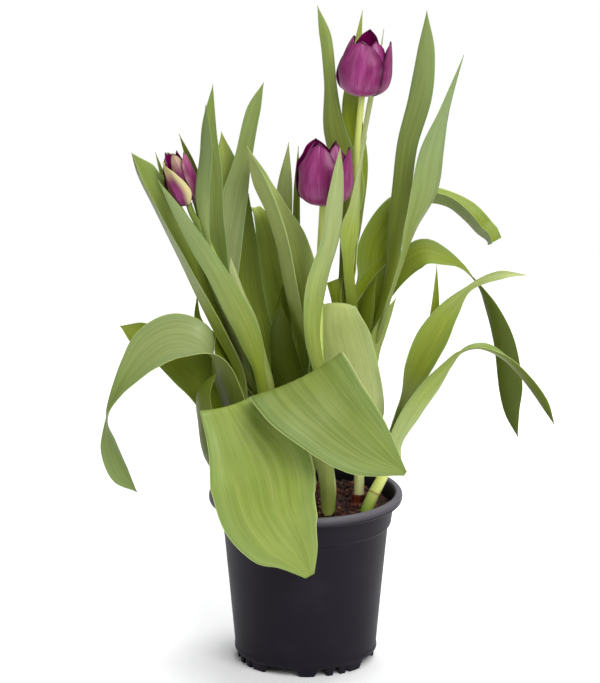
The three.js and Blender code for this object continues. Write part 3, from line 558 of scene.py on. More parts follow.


# Leaves. A leaf clasps its stem from `at` mm above the soil over `clasp` mm, on the stem's side at compass angle
# `side` (0 is +X, 90 is +Y), `layer` leaves out from the stem, where it is `foot` mm wide. Its midrib then runs
# through `points`, each (x, y, z, compass angle of its outer face, width, bank in degrees).
# face, back: how yellow that side is, and how much painted shade (above 0) or painted light (below 0) it has, at the
# foot, then the same at the tip.
# channel: half the arc across the open blade, in degrees. keel: how far each half folds up about the midrib, in
# degrees, reached between the two `folds`, which are shares of the length.
leaves = {
    "leaf_top_left": dict(
        stem="top", at=118, side=-175, layer=2, foot=5.5, face=(0.99, 0.66, 0.44, -0.01), points=[
        (24, 20, 265, -140, 11.5), (26, 25, 296.5, -119, 20.5), (17, 26, 330, -112, 15),
        (14.5, 26, 360.5, -114, 8.5), (12, 25, 386, -109, 8), (7, 23, 407.5, -98, 0)]),
    "leaf_top_clasping": dict(
        stem="top", at=96, side=-60, layer=3, foot=6, face=(0.98, 0.8, 0.5, -0.4), points=[
        (26.5, 0, 252, -60, 8), (27.5, -1, 273.5, -56, 14.5), (30.5, -1, 289, -40, 11), (33, 0, 313, -29, 4.5),
        (37, 2, 331.5, -29, 0)]),
    "leaf_top_behind": dict(
        stem="top", at=128, side=110, layer=1, foot=5, face=(0.87, 0.92, 0.96, -0.29), points=[
        (31, 30, 275.5, 110, 8.5), (34, 38, 308, 105, 8.5), (28, 38, 337.5, 105, 13), (29.5, 36, 363, 100, 9),
        (32, 35, 384, 95, 4.5), (34.5, 34, 402.5, 90, 0)]),
    "leaf_top_right": dict(
        stem="top", at=140, side=20, clasp=12, foot=4.5, face=(0.99, -0.55, 0.99, -0.55), points=[
        (33, 27, 285, 10, 5.5), (35.5, 32, 318, -15, 8.5), (40, 33, 344.5, -20, 10.5),
        (44.5, 33, 368.5, -20, 5.5), (47.5, 32, 391.5, -20, 0)]),
    "leaf_top_broad": dict(
        stem="top", at=22, side=-85, layer=1, clasp=20, foot=10, channel=14,
        face=(0.82, -0.55, 0.84, -0.36), points=[
        (32.5, -4, 159.5, -90, 32), (28.5, -6, 183, -92, 34), (24, -8, 204, -94, 33.5),
        (20.5, -9, 221, -99, 25.5), (20, -6, 228.5, -100, 18.5), (22, -0.5, 226, -100, 11.5),
        (23.5, 1, 216.5, -100, 0)]),
    "leaf_centre_front": dict(
        stem="centre", at=66, side=-40, clasp=16, foot=7, face=(0.68, 0.12, 0.32, -0.27), points=[
        (5, -20.5, 211.5, -44, 13), (8, -25, 245.5, -44, 19.5), (16, -29, 275, -44, 17),
        (18.5, -32, 297.5, -43, 15.5), (20, -32, 315, -41, 10.5), (20.5, -30, 331.5, -40, 0)]),
    "leaf_centre_drooping": dict(
        stem="centre", at=0, side=-110, layer=1, clasp=20, foot=9, channel=12,
        face=(0.22, 0.67, 0.09, 0.29), back=(0.9, -0.3, 0.83, -0.02), points=[
        (11.5, -23.5, 132, -98, 11.5, 6), (7, -28, 154, -85, 29, 25), (3, -39, 177, -85, 49, 25),
        (-4.5, -59, 196, -84, 62.5, 25), (0, -69, 193, -78, 62, 25), (14.5, -77, 179, -72, 53.5, 25),
        (34, -79, 161, -67, 40.5, 25), (59.5, -79, 143, -70, 3, 25)]),
    "leaf_right_upper": dict(
        stem="right", at=20, side=160, layer=1, clasp=10, foot=6.5, face=(0.99, 0.92, 0.34, -0.3), points=[
        (58, 0.5, 162.5, 151, 10.5, -1), (68, 5, 185, 114, 19.5, -1), (76.5, 7, 202, 96, 20.5, -1),
        (88, 8, 221, 92, 13.5), (101, 9, 235, 85, 4, 2), (118, 10, 242, 81, 6, 6),
        (136, 10, 242.5, 77, 0, 11)]),
    "leaf_right_arching": dict(
        stem="right", at=24, side=-24, layer=2, clasp=7, foot=6.5, channel=40,
        face=(0.01, 0.48, 0.09, 0.06), back=(0.37, -0.21, 0.94, 0.81), points=[
        (56.5, -17, 142, -49, 14), (67, -15, 162.5, -60, 16.5, 2), (78, -12, 177, -60, 16, 4),
        (88, -12, 191, -46, 12, 4), (95.5, -12, 199.5, -26, 10, 1), (106, -12, 202, -8, 13.5, -4),
        (118.5, -12, 196.5, 11, 18.5, -3), (132, -12, 183.5, 26, 16, -3), (143, -12, 169, 33, 12.5, -6),
        (152.5, -12, 153.5, 37, 0, -11)]),
    "leaf_right_spike": dict(
        stem="right", at=32, side=75, clasp=8, foot=4, face=(0.98, 0.79, 0.88, 0.39), points=[
        (64, 9, 159, 75, 9), (70, 14, 175, 80, 10.5), (76.5, 15, 197, 90, 8), (79.5, 17, 218, 90, 5.5),
        (80.5, 17, 247.5, 90, 0)]),
    "leaf_back_tall": dict(
        stem="back", at=70, side=-170, clasp=16, foot=5, face=(0.99, 0.51, 0.21, 0.12), points=[
        (46, 33, 214.5, -150, 7), (53, 33, 244, -125, 9), (55.5, 33, 268, -115, 11.5),
        (58.5, 33, 290.5, -112, 13), (62, 33, 320, -114, 14), (69.5, 32, 348.5, -106, 15),
        (73, 32, 375.5, -100, 11.5), (73.5, 32, 402.5, -99, 0)]),
    "leaf_back_second": dict(
        stem="back", at=60, side=-60, layer=1, clasp=16, foot=7, face=(0.97, 0.55, 0.0, 0.07), points=[
        (50.5, 15, 220.5, -19, 6), (60, 12, 252, -21, 9.5), (65, 12, 270.5, -38, 14.5),
        (73.5, 13, 293.5, -53, 22), (77.5, 13, 319, -62, 17.5), (84.5, 13, 344.5, -56, 8),
        (95.5, 14, 379, -51, 0)]),
    "leaf_back_arching": dict(
        stem="back", at=30, side=75, layer=3, clasp=20, foot=12, keel=50, folds=[0.45, 0.7],
        face=(0.94, -0.42, 0.73, 0.29), back=(0.32, 0.45, 0.32, 0.45), points=[
        (37, 50, 206.5, 75, 20.5), (44, 54, 227, 73, 24.5), (47.5, 56, 248, 61, 30, 3),
        (58.5, 54, 267, 31, 30, 4), (74, 51, 277.5, 1, 25, 1), (87.5, 49, 276, -14, 22.5, -4),
        (98, 48, 268, -24, 26, -6), (106.5, 48, 259, -29, 25.5, -4), (113, 47, 254, -35, 19.5, -1),
        (113, 47, 252, -35, 0, 1)]),
    "leaf_back_hanging": dict(
        stem="back", at=50, side=60, layer=2, foot=6,
        face=(0.99, 0.92, 0.07, -0.47), back=(0.99, 0.4, 0.65, 0.92), points=[
        (38, 38, 199.5, 75, 24.5, 13), (45.5, 39, 223, 72, 17.5, 12), (60, 39, 239.5, 55, 17.5, 19),
        (73, 37, 248.5, 25, 21.5, 33), (85, 35, 246.5, 5, 16, 31), (95.5, 35, 241.5, 6, 9, 18),
        (105.5, 34, 231.5, 25, 5.5, 6), (114, 33, 216.5, 51, 10.5, -1), (122.5, 33, 194, 68, 14.5, 1),
        (127, 33, 167.5, 76, 16, 1), (128.5, 33, 148, 76, 10), (132.5, 33, 132, 76, 0)]),
    "leaf_bud_broad": dict(
        stem="bud", at=95, side=60, layer=2, foot=8, face=(0.06, -0.55, 0.0, -0.1), points=[
        (-41, 18, 202.5, 60, 11.5), (-49, 20, 230.5, 74, 16.5), (-48.5, 21, 259, 89, 19.5),
        (-44, 21, 286.5, 90, 17), (-38, 21, 314, 90, 11), (-32, 21, 342.5, 90, 9), (-25.5, 21, 360.5, 89, 0)]),
    "leaf_bud_diagonal": dict(
        stem="bud", at=45, side=-70, layer=4, clasp=18, foot=8, face=(0.88, 0.09, 0.07, 0.24), points=[
        (-28, -12, 186.5, -80, 7.5), (-33, -15, 207, -80, 14.5), (-42, -18, 228.5, -78, 15.5),
        (-53.5, -20, 251, -75, 13), (-63, -20, 266.5, -75, 11.5), (-75.5, -19, 287, -75, 7.5),
        (-89, -19, 309, -75, 0)]),
    "leaf_bud_folded": dict(
        stem="bud", at=30, side=180, layer=5, clasp=18, foot=10, keel=36,
        face=(0.99, 0.18, 0.1, -0.05), back=(0.99, -0.18, 0.41, 0.68), points=[
        (-43.5, 3, 182.5, 180, 22), (-55, 2, 206.5, 177, 31), (-66.5, 1, 231, 170, 37), (-78, -2, 258, 162, 40),
        (-91.5, -5, 288, 157, 33), (-101.5, -7, 310, 157, 25), (-105, -7, 323, 162, 0)]),
    "leaf_bud_behind": dict(
        stem="bud", at=110, side=130, layer=1, foot=5.5, face=(0.34, 0.92, 0.39, 0.54), points=[
        (-45, 13.5, 226, 120, 6), (-57, 15.5, 260, 110, 9), (-65, 16, 289, 105, 9.5),
        (-70, 16, 310.5, 100, 5.5), (-77, 16, 329.5, 100, 0)]),
    "leaf_bud_upper": dict(
        stem="bud", at=126, side=90, clasp=12, foot=4.5, face=(0.0, 0.38, 0.0, 0.04), points=[
        (-51, 7, 250, 95, 8), (-56, 5, 275, 95, 13.5), (-57, 3, 304.5, 92, 13.5), (-58.5, 3, 335.5, 90, 9.5),
        (-56, 3, 363, 90, 0)]),
    "leaf_bud_back": dict(
        stem="bud", at=20, side=80, layer=6, foot=5, face=(0.7, -0.2, 0.7, -0.2), points=[
        (-33.5, 24, 178, 80, 12.5), (-39.5, 31, 224.5, 85, 14.5), (-41, 31, 266, 90, 14),
        (-48, 30, 303.5, 90, 14.5), (-51.5, 29, 328, 89, 0)]),
    "leaf_bud_front": dict(
        stem="bud", at=70, side=-140, layer=3, foot=6.5, face=(0.99, -0.55, 0.02, 0.52), points=[
        (-43.5, -5, 212, -120, 14), (-55, -10, 244.5, -110, 12), (-59.5, -13, 269, -105, 4),
        (-62.5, -16, 298, -105, 9), (-60, -15, 326, -104, 8), (-60, -13, 354, -104, 0)]),
    "leaf_bud_low": dict(
        stem="bud", at=8, side=170, layer=7, clasp=16, foot=10.5, face=(0.8, 0.92, 0.94, 0.61), points=[
        (-47.5, 13, 145.5, 147, 31.5), (-55, 15, 165, 124, 40.5), (-71.5, 17, 180.5, 119, 34.5),
        (-89, 18, 194.5, 119, 28), (-104.5, 18, 202, 124, 20), (-114.5, 18, 208, 136, 0)]),
    "leaf_middle_folded": dict(
        stem="middle", at=46, side=-170, clasp=16, foot=8.5, channel=40, keel=55,
        face=(0.95, -0.12, 0.6, -0.3), points=[
        (-3.5, 9, 192, -190, 17.5), (-8, 8, 213, -208, 33), (-13.5, 6, 238.5, -210, 45),
        (-18, 5, 263, -207, 39.5), (-24.5, 4, 284.5, -193, 27.5), (-32, 4, 302, -183, 23.5),
        (-35.5, 4, 324.5, -184, 0)]),
    "leaf_middle_broad": dict(
        stem="middle", at=34, side=110, layer=1, clasp=16, foot=7.5, face=(0.5, 0.18, 0.5, -0.05), points=[
        (-10, 28, 173.5, 100, 25), (-9.5, 34, 201.5, 95, 28), (-15, 38, 226.5, 91, 25.5),
        (-21.5, 40, 251.5, 90, 18), (-28, 42, 272, 90, 9), (-31.5, 46, 276, 90, 5), (-34.5, 50, 272, 90, 0.5)]),
    "leaf_middle_slim": dict(
        stem="middle", at=14, side=70, layer=4, clasp=16, foot=6.5, face=(0.16, 0.63, 0.5, -0.39), points=[
        (0, 33, 153, 80, 12), (-3.5, 41, 186, 85, 17.5), (-9, 44, 224.5, 90, 16), (-14, 43, 256.5, 90, 13),
        (-13, 40, 289, 90, 10), (-10.5, 37, 319.5, 90, 0)]),
    "leaf_middle_left": dict(
        stem="middle", at=20, side=180, layer=3, clasp=18, foot=4, face=(0.99, 0.01, 0.45, 0.6), points=[
        (-19.5, 11.5, 160, 145, 12.5), (-28, 22, 194.5, 110, 20), (-35, 26, 228.5, 100, 18),
        (-36, 28, 259.5, 100, 12), (-35, 28, 289.5, 95, 0)]),
    "leaf_middle_short": dict(
        stem="middle", at=28, side=-100, layer=2, foot=7, face=(0.99, 0.84, 0.57, 0.92), points=[
        (-10, -1, 175, -100, 22.5), (-13, -5, 193.5, -90, 17.5), (-15.5, -6, 212.5, -90, 12.5),
        (-15, -5, 228, -90, 0)]),
    "leaf_left_arching": dict(
        stem="left", at=15, side=-170, layer=1, foot=13.5,
        face=(0.01, -0.55, 0.0, 0.07), back=(0.98, 0.82, 0.15, 0.36), points=[
        (-43.5, -18, 158.5, -136, 25), (-50, -19, 181, -137, 25, -3), (-57.5, -18, 199, -153, 27, -20),
        (-67.5, -16, 207, -164, 28.5, -42), (-81, -12, 208, -161, 32, -46), (-94, -10, 200.5, -153, 30.5, -41),
        (-105, -10, 188, -149, 22.5, -30), (-115, -10, 173, -159, 15, -12), (-121.5, -10, 157.5, -179, 11),
        (-120, -10, 140.5, -209, 18), (-114, -10, 122.5, -227, 15.5), (-104, -10, 109.5, -235, 0)]),
    "leaf_left_small": dict(
        stem="left", at=1.5, side=-170, layer=3, clasp=12, foot=6.5, face=(0.81, 0.92, 0.93, 0.77), points=[
        (-60, -20, 132.5, -158, 19), (-62.5, -22, 157.5, -145, 19.5), (-62.5, -24, 177.5, -137, 11.5),
        (-54, -22, 190, -118, 0)]),
    "leaf_left_drooping": dict(
        stem="left", at=8, side=-90, layer=2, foot=12, channel=10, face=(0.22, 0.22, 0.22, -0.04), points=[
        (-36.5, -28, 133, -90, 19), (-44, -38, 156, -85, 24.5), (-48.5, -50.5, 176, -83, 31.5, 12),
        (-40.5, -61, 165, -85, 42.5, 3), (-27.5, -70, 140.5, -86, 63.5), (-22.5, -75, 119.5, -88, 59.5),
        (-13.5, -76, 102.5, -88, 49), (-5.5, -76, 91.5, -90, 30), (2.5, -76, 77.5, -90, 6)]),
    "leaf_small_slim": dict(
        stem="middle", at=24, side=90, layer=5, clasp=12, foot=5, face=(0.75, -0.55, 0.48, 0.55), points=[
        (-1, 38, 170.5, 90, 9), (-2.5, 46, 210.5, 90, 8.5), (-5.5, 48, 248.5, 90, 5.5),
        (-5.5, 48, 286.5, 90, 4), (-4.5, 46, 315, 90, 0)]),
    "leaf_small_left": dict(
        stem="bud", at=88, side=150, layer=1, clasp=10, foot=5, face=(0.15, 0.2, 0.15, 0.2), points=[
        (-55, 7, 241, 140, 8), (-70, 13, 264, 130, 7), (-83.5, 16, 288, 120, 3.5), (-88.5, 16, 307.5, 115, 2.5),
        (-91.5, 16, 318, 110, 0)]),
    "leaf_small_strip": dict(
        stem="bud", at=60, side=-40, layer=5, foot=6, face=(0.99, -0.29, 0.78, -0.49), points=[
        (-28, -9, 193, -70, 10.5), (-34, -11, 216, -75, 11.5), (-40.5, -13, 235, -75, 8.5),
        (-44, -14, 250, -75, 5), (-45.5, -14, 260, -75, 0)]),
    "leaf_small_flap": dict(
        stem="top", at=70, side=-90, layer=4, foot=7, face=(0.97, 0.42, 0.97, 0.42), points=[
        (26.5, 4, 209, -95, 11), (22.5, 5, 222, -100, 12), (19.5, 6, 232, -100, 10.5),
        (16.5, 8, 239.5, -100, 8.5)]),
    "leaf_small_tip": dict(
        stem="bud", at=52, side=140, layer=6, clasp=10, foot=5, face=(0.0, 0.92, 0.91, 0.08), points=[
        (-43.5, 17, 186, 130, 8.5), (-54.5, 20, 196.5, 125, 8), (-66, 21, 209.5, 120, 5.5),
        (-67, 21, 227, 114, 0)]),
    "leaf_small_low": dict(
        stem="bud", at=36, side=170, layer=5, clasp=12, foot=5, face=(0.5, 0.3, 0.5, 0.3), points=[
        (-35.5, 6, 167.5, 150, 7.5), (-38.5, 8, 183, 140, 7.5), (-42, 9, 195.5, 130, 4.5),
        (-44.5, 9, 204, 130, 0)]),
    "leaf_small_side": dict(
        stem="bud", at=66, side=160, layer=4, foot=6, face=(0.89, 0.26, 0.89, 0.26), points=[
        (-44.5, 6, 182.5, 140, 20), (-49, 9, 194, 130, 21), (-50, 10, 206.5, 120, 15), (-54, 10, 220.5, 115, 7),
        (-57, 10, 232.5, 110, 0)]),
    "leaf_small_point": dict(
        stem="middle", at=20, side=-150, layer=2, clasp=10, foot=5, face=(0.88, -0.55, 0.98, 0.58), points=[
        (-11, 14, 177.5, -120, 9), (-12.5, 16, 196.5, -100, 10.5), (-14, 17, 215.5, -95, 10),
        (-13.5, 17, 237.5, -95, 0)]),
    "leaf_small_behind": dict(
        stem="back", at=44, side=100, layer=5, foot=7, face=(0.67, -0.27, 0.98, 0.1), points=[
        (36.5, 46, 188, 95, 12), (34.5, 52, 206.5, 90, 14), (38.5, 54, 225, 90, 12.5), (50, 55, 245, 90, 0)]),
    "leaf_small_inner": dict(
        stem="back", at=54, side=-120, layer=3, clasp=12, foot=5, face=(0.96, 0.7, 0.95, 0.74), points=[
        (37, 22, 204, -110, 8), (38, 21, 216, -105, 8), (40, 21, 227, -105, 5), (43.5, 21, 238.5, -105, 0)]),
    "leaf_small_sheath": dict(
        stem="back", at=24, side=-60, layer=5, clasp=16, foot=7, face=(0.73, -0.38, 0.53, 0.06), points=[
        (41.5, 22, 185, -60, 10), (45, 20, 200, -60, 11), (50.5, 19, 214.5, -60, 7),
        (55.5, 19, 225.5, -60, 0)]),
    "leaf_small_spike": dict(
        stem="centre", at=50, side=60, layer=1, foot=4, face=(0.85, 0.08, 0.88, -0.02), points=[
        (10.5, 2, 187.5, 60, 2.5), (10.5, 2, 206.5, 70, 4), (11, 2, 219.5, 75, 3.5), (10.5, 2, 228.5, 80, 0)]),
}
leafDefaults = dict(layer=0, clasp=14, channel=25, keel=0, folds=(0, 0.25), back=None)
leafShape = {
    "rows": 120,
    "columns": 25,
    "thick": 0.8,
    "fit": 0.9,  # from the stem's surface to the leaf that clasps it
    "layerStep": 1.35,
    "opening": 0.25,  # share of the length over which it opens from the stem
    "narrowest": 0.4,
    "wave": 0.12,
    "ribs": 11,
    "ribHeight": 0.07,
}
thinning = dict(margin=0.6, tip=0.5, foot=0.7)  # how much thinner a blade is there


def valueAt(values, place):
    # a cubic through the values, read at fractional places, that never swings past them
    values = np.asarray(values, float)
    rise = np.diff(values)
    before, after = rise[:-1], rise[1:]
    same = before * after > 0
    between = np.where(same, 2 * before * after / np.where(same, before + after, 1), 0)
    slope = np.concatenate([rise[:1], between, rise[-1:]])
    first = np.minimum(place.astype(int), len(values) - 2)
    t = place - first
    bow = t * (1 - t) * ((1 - t) * slope[first] - t * slope[first + 1])
    return mixed(values[first], values[first + 1], smooth(t)) + bow


def leafSheet(name, leaf):
    # S(u, v) = m(u) + s(u) * sideways(u, v) + n(u) * depth(u, v): m is the midrib, s runs across the blade and n to its
    # upper face; sideways and depth draw an arc that wraps the stem at the foot and opens to a shallow channel,
    # or to a fold where the leaf has a keel; slow waves move the margins and low ribs run lengthwise
    shape = leafShape
    rows, columns = shape["rows"], shape["columns"]
    side = leaf["side"]
    outwards = np.array([math.cos(math.radians(side)), math.sin(math.radians(side)), 0])
    tight = stemAt(leaf["stem"], leaf["at"])[1]
    spread = leaf["layer"] * shape["layerStep"]
    route, facing, widths, banks = [], [], [], []
    for part in (0, 0.5, 1):
        middle = stemAt(leaf["stem"], leaf["at"] + part * leaf["clasp"])[0]
        route.append(middle + outwards * (tight + shape["fit"] * smooth(part * 2) + spread * part))
        facing.append(side)
        widths.append(mixed(leaf["foot"], leaf["points"][0][4], part / 2))
        banks.append(0)
    for x, y, z, face, width, *bank in leaf["points"]:
        route.append((x, y, z))
        facing.append(facing[-1] + (face - facing[-1] + 540) % 360 - 180)
        widths.append(width)
        banks.append(bank[0] if bank else 0)
    line, along, place, length = curveThrough(route, rows - 1)
    u = np.linspace(0, 1, rows)
    v = np.linspace(-1, 1, columns)
    face, tilt = np.radians(valueAt(facing, place)), np.radians(valueAt(banks, place))
    across = np.stack([-np.sin(face) * np.cos(tilt), np.cos(face) * np.cos(tilt), np.sin(tilt)], 1)
    across -= (across * along).sum(1)[:, None] * along
    across /= np.linalg.norm(across, axis=1, keepdims=True)
    inwards = np.cross(along, across)
    wide = np.maximum(valueAt(widths, place), shape["narrowest"])
    opened = smooth(u / shape["opening"])
    clasped = np.minimum(1, u * length / leaf["clasp"])
    wrap = tight + shape["fit"] * smooth(clasped * 2) + spread * clasped
    half = mixed(np.minimum(wide / (2 * wrap), math.radians(150)), math.radians(leaf["channel"]), opened)
    bend = wide / (2 * half)
    sideways = bend[:, None] * np.sin(half[:, None] * v)
    depth = bend[:, None] * (1 - np.cos(half[:, None] * v))
    if leaf["keel"]:
        folded = smooth((u - leaf["folds"][0]) / (leaf["folds"][1] - leaf["folds"][0]))[:, None]
        fold = math.radians(leaf["keel"]) * folded
        crease = np.sqrt(v * v + 0.002) - 0.045
        sideways = mixed(sideways, wide[:, None] / 2 * v * np.cos(fold), folded)
        depth = mixed(depth, wide[:, None] / 2 * crease * np.sin(fold), folded)
    wave = unevenness(seedOf(name), (rows, columns)) * shape["wave"] * (wide / 14)[:, None] * np.abs(v) ** 1.5
    ribs = shape["ribHeight"] * np.cos(v * shape["ribs"] * math.pi) * smooth(wide / 8)[:, None]
    depth = depth + (wave + ribs) * opened[:, None]
    return line[:, None] + across[:, None] * sideways[..., None] + inwards[:, None] * depth[..., None]


def sheetNormals(points):
    normal = np.cross(np.gradient(points, axis=0), np.gradient(points, axis=1))
    return normal / np.maximum(np.linalg.norm(normal, axis=2, keepdims=True), 1e-9)


def sheetPiece(name, points, thick, marks, material, nodes):
    # both faces of a blade that thins towards its margins, tip and foot: S +- n * thick / 2
    rows, columns = points.shape[:2]
    u = np.linspace(0, 1, rows)[:, None]
    v = np.linspace(-1, 1, columns)[None, :]
    thin = (1 - thinning["margin"] * v ** 4) * (1 - thinning["tip"] * u ** 3)
    thin = thin * (1 - thinning["foot"] * (1 - smooth(u / 0.05)))
    offset = sheetNormals(points) * (thick / 2 * thin)[..., None]
    both = np.concatenate([(points + offset).reshape(-1, 3), (points - offset).reshape(-1, 3)])
    grid = {"along": u, "across": v, "upper": np.array([1.0, 0])[:, None, None], **marks}
    values = {key: np.broadcast_to(value, (2, rows, columns)).ravel() for key, value in grid.items()}
    uv = np.stack([values["across"], values["along"]], 1)
    makePiece(name, both, sheetFaces(rows, columns), material, nodes, values, uv)


def makeLeaf(name, leaf):
    # the tones go from foot to tip on each side, the upper side first; the dark tone is painted shade, and painted
    # light where it is below 0
    leaf = {**leafDefaults, **leaf}
    foot, tip = np.array([leaf["face"], leaf["back"] or leaf["face"]]).reshape(2, 2, 2, 1).transpose(1, 2, 0, 3)
    warm, dark = mixed(foot, tip, smooth(np.linspace(-0.125, 1.125, leafShape["rows"])))[..., None]
    marks = {"warm": warm, "dark": dark, "seed": seedOf(name) % 37 * 1.7}
    nodes = [name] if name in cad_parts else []
    sheetPiece(name, leafSheet(name, leaf), leafShape["thick"], marks, leafSkin, nodes)


for name, leaf in leaves.items():
    makeLeaf(name, leaf)
print("leaves made:", len(leaves))


# Petals: three outer ones that clasp the stem's end and three inner ones that stand on it.
petalShape = {
    "rows": 72,
    "columns": 37,
    "thick": 0.6,
    "narrowing": 0.42,  # share of the length where the outline starts to close
    "footSpread": 0.72,
    "keel": 0.5,
    "keelWidth": 0.12,
    "wave": 1.1,
    "overlap": 0.6,  # how far one margin lies out and the other in
    "droop": 1.4,  # how much lower the margins are than the tip
    "inset": 2.2,  # the inner ring inside the outer one
    "innerFoot": (1.7, 1.6),  # radius and height
    "outerFoot": (0.8, -0.2),  # the same, from the stem's surface and end
    "innerUnripe": 0.6,
    # painted shade over the inner petals
    "innerPaintedShade": 0.15,
}


def makePetal(flowerName, index, ring):
    # P(u, v) = foot + radius(u, v) * direction(angle + half(u) * v) + up * height(u, v): a strip of a cup that narrows
    # to a blunt tip, with a low keel down its back, a waved margin, and one margin tucked under its neighbour
    shape, inner = petalShape, ring == "inner"
    flower, stem = flowers[flowerName], stems[flowerName]
    angle, spread, tall, closing, turned, blunt = flower[ring][index]
    foot, up = stem["line"][-1], stem["along"][-1]
    right = np.array([1.0, 0, 0]) - up * up[0]
    right /= np.linalg.norm(right)
    away = np.cross(up, right)
    wide = flower["radius"] - (shape["inset"] if inner else 0)
    tall = flower["height"] * tall
    startRadius, startHeight = shape[ring + "Foot"]
    if not inner:
        startRadius += stem["radius"][1]
    rows, columns = shape["rows"], shape["columns"]
    cup = [(0, 0), (0.5, 0.03), (0.86, 0.14), (1, 0.34), (mixed(1, closing, 0.12), 0.58),
           (mixed(1, closing, 0.5), 0.81), (closing, 1)]  # radius and height, from the foot to the widest and the tip
    line = curveThrough([(mixed(startRadius, wide, r), mixed(startHeight, tall, h), 0) for r, h in cup], rows - 1)[0]
    u = np.linspace(0, 1, rows)[:, None]
    v = np.linspace(-1, 1, columns)[None, :]
    tip = np.clip((u - shape["narrowing"]) / (1 - shape["narrowing"]), 0, 1)
    half = spread * np.minimum(1, shape["footSpread"] + 0.9 * u) * np.sqrt(1 - tip ** blunt)
    bearing = np.radians(angle + turned * smooth((u - 0.3) / 0.7) + np.maximum(half, 1.2) * v)
    name = f"{ring}_tepal_{flowerName}_{index + 1}"
    seed = seedOf(name) + index
    wave = unevenness(seed, (rows, columns)) * shape["wave"] * v ** 2 * smooth(u * 2)
    keel = shape["keel"] * np.exp(-(v / shape["keelWidth"]) ** 2) * smooth(u * 3)
    radius = line[:, :1] + wave + keel + shape["overlap"] * v * smooth(u * 2)
    height = line[:, 1:2] - shape["droop"] * smooth((u - 0.6) / 0.4) * v ** 2
    points = (foot + right * (radius * np.cos(bearing))[..., None] + away * (radius * np.sin(bearing))[..., None]
              + up * height[..., None])
    unripe = flower["unripe"][index] * (shape["innerUnripe"] if inner else 1)
    # dark: painted shade on the inner petals
    marks = {"unripe": unripe, "dark": shape["innerPaintedShade"] if inner else 0, "seed": seed % 41 * 2.3}
    sheetPiece(name, points, shape["thick"], marks, petalSkin, [name])


for name in flowers:
    for index in range(3):
        for ring in ("outer", "inner"):
            makePetal(name, index, ring)
print("petals made")


# Pot: one moulded skin with a rolled lip, a collar below it, and a base that stands on feet.
potShape = {
    "sides": 540,
    "footTop": 5.45,
    "footCount": 8,
    "firstFoot": -88.7,  # the feet's places and widths are in degrees round the pot
    "wideFoot": (10.3, 5.8),  # half its width at the top and at the floor
    "narrowFoot": (3.9, 2.6),
    "narrowPlaces": (19.6, 31.6),  # after every other wide foot
    "lipFrom": 101,
}
# radius, height and rounding of each corner, from the middle of the base up outside and down inside
potCorners = [
    (0, 5.5), (39.4, 5.5), (39.5, 5.3, 0.3), (39.7, 0, 0.5), (42.3, 0, 0.6), (42.9, 5.3, 0.3), (43.5, 5.6, 0.4),
    (44.3, 6.8, 0.6), (44.2, 8.8, 0.6), (43.95, 9.8, 0.5), (47.4, 48), (51.0, 86.2, 0.5), (51.6, 87.0, 0.6),
    (52.9, 87.8, 1.2), (53.1, 90, 1), (54.9, 100.6, 1.2), (57.6, 101.1, 1.0), (59.4, 102.0, 1.2),
    (60, 104.2, 1.6), (59.8, 106.4, 1.4), (58.3, 107.8, 1.2), (56.8, 108, 0.8), (55.8, 107.4, 0.8),
    (55.2, 105.8, 1), (53.6, 100, 1.5), (51.9, 89, 1), (49.7, 86.5, 1), (42.6, 9, 1.5), (41.4, 7.6, 0.8), (0, 7.2)]
plasticLook = {
    "black": colour(25, 21, 30),
    # the grey of the faint haze, and of the painted highlight on the lip
    "hazeAndHighlight": colour(150, 146, 156),
    "roughness": 0.46,
    "gloss": 0.1,
    "haze": 0.012,
    "lipPaintedHighlight": 0.45,
    "lipPolish": 0.18,
}


def makePlastic():
    # black with a faint haze and fine upright scuffs; the rolled lip is smoother from handling, and greyer towards its
    # top as a painted highlight
    look = plasticLook
    material, tree, shader = newMaterial("potPlastic", look["roughness"], Specular_IOR_Level=look["gloss"])
    where = addNode(tree, "ShaderNodeTexCoord").outputs["Object"]
    haze = noise(tree, where, 35.0, 4.0)
    upright = addNode(tree, "ShaderNodeMapping", {"Vector": where, "Scale": (900, 900, 60)}).outputs[0]
    lip = mark(tree, "lip")
    hazy = times(tree, band(tree, haze, 0.45, 0.75), look["haze"])
    # the faint haze, and a painted highlight on the lip
    hazeAndLipHighlight = calc(tree, "ADD", hazy, times(tree, lip, look["lipPaintedHighlight"]))
    rough = calc(tree, "MULTIPLY_ADD", haze, 0.14, look["roughness"] - 0.05)
    rough = calc(tree, "MULTIPLY_ADD", lip, -look["lipPolish"], rough)
    tree.links.new(rough, shader.inputs["Roughness"])
    paint(tree, shader, layered(tree, look, "black", (hazeAndLipHighlight, "hazeAndHighlight")), noise(tree, upright, 1.0, 3.0), 0.12, 0.0001)
    return material


potPlastic = makePlastic()


def roundedProfile(corners, steps=5):
    # each rounded corner is swapped for a quadratic arc, which starts and ends no further than halfway to the next
    points = []
    corners = [(*c, 0) if len(c) == 2 else c for c in corners]
    for k, (r, z, rounding) in enumerate(corners):
        here = np.array([r, z], float)
        if not rounding:
            points.append(here)
            continue
        before, after = np.array(corners[k - 1][:2]) - here, np.array(corners[k + 1][:2]) - here
        start = here + before / np.linalg.norm(before) * min(rounding, np.linalg.norm(before) / 2)
        end = here + after / np.linalg.norm(after) * min(rounding, np.linalg.norm(after) / 2)
        for t in np.linspace(0, 1, steps):
            points.append((1 - t) ** 2 * start + 2 * t * (1 - t) * here + t * t * end)
    return np.array(points)


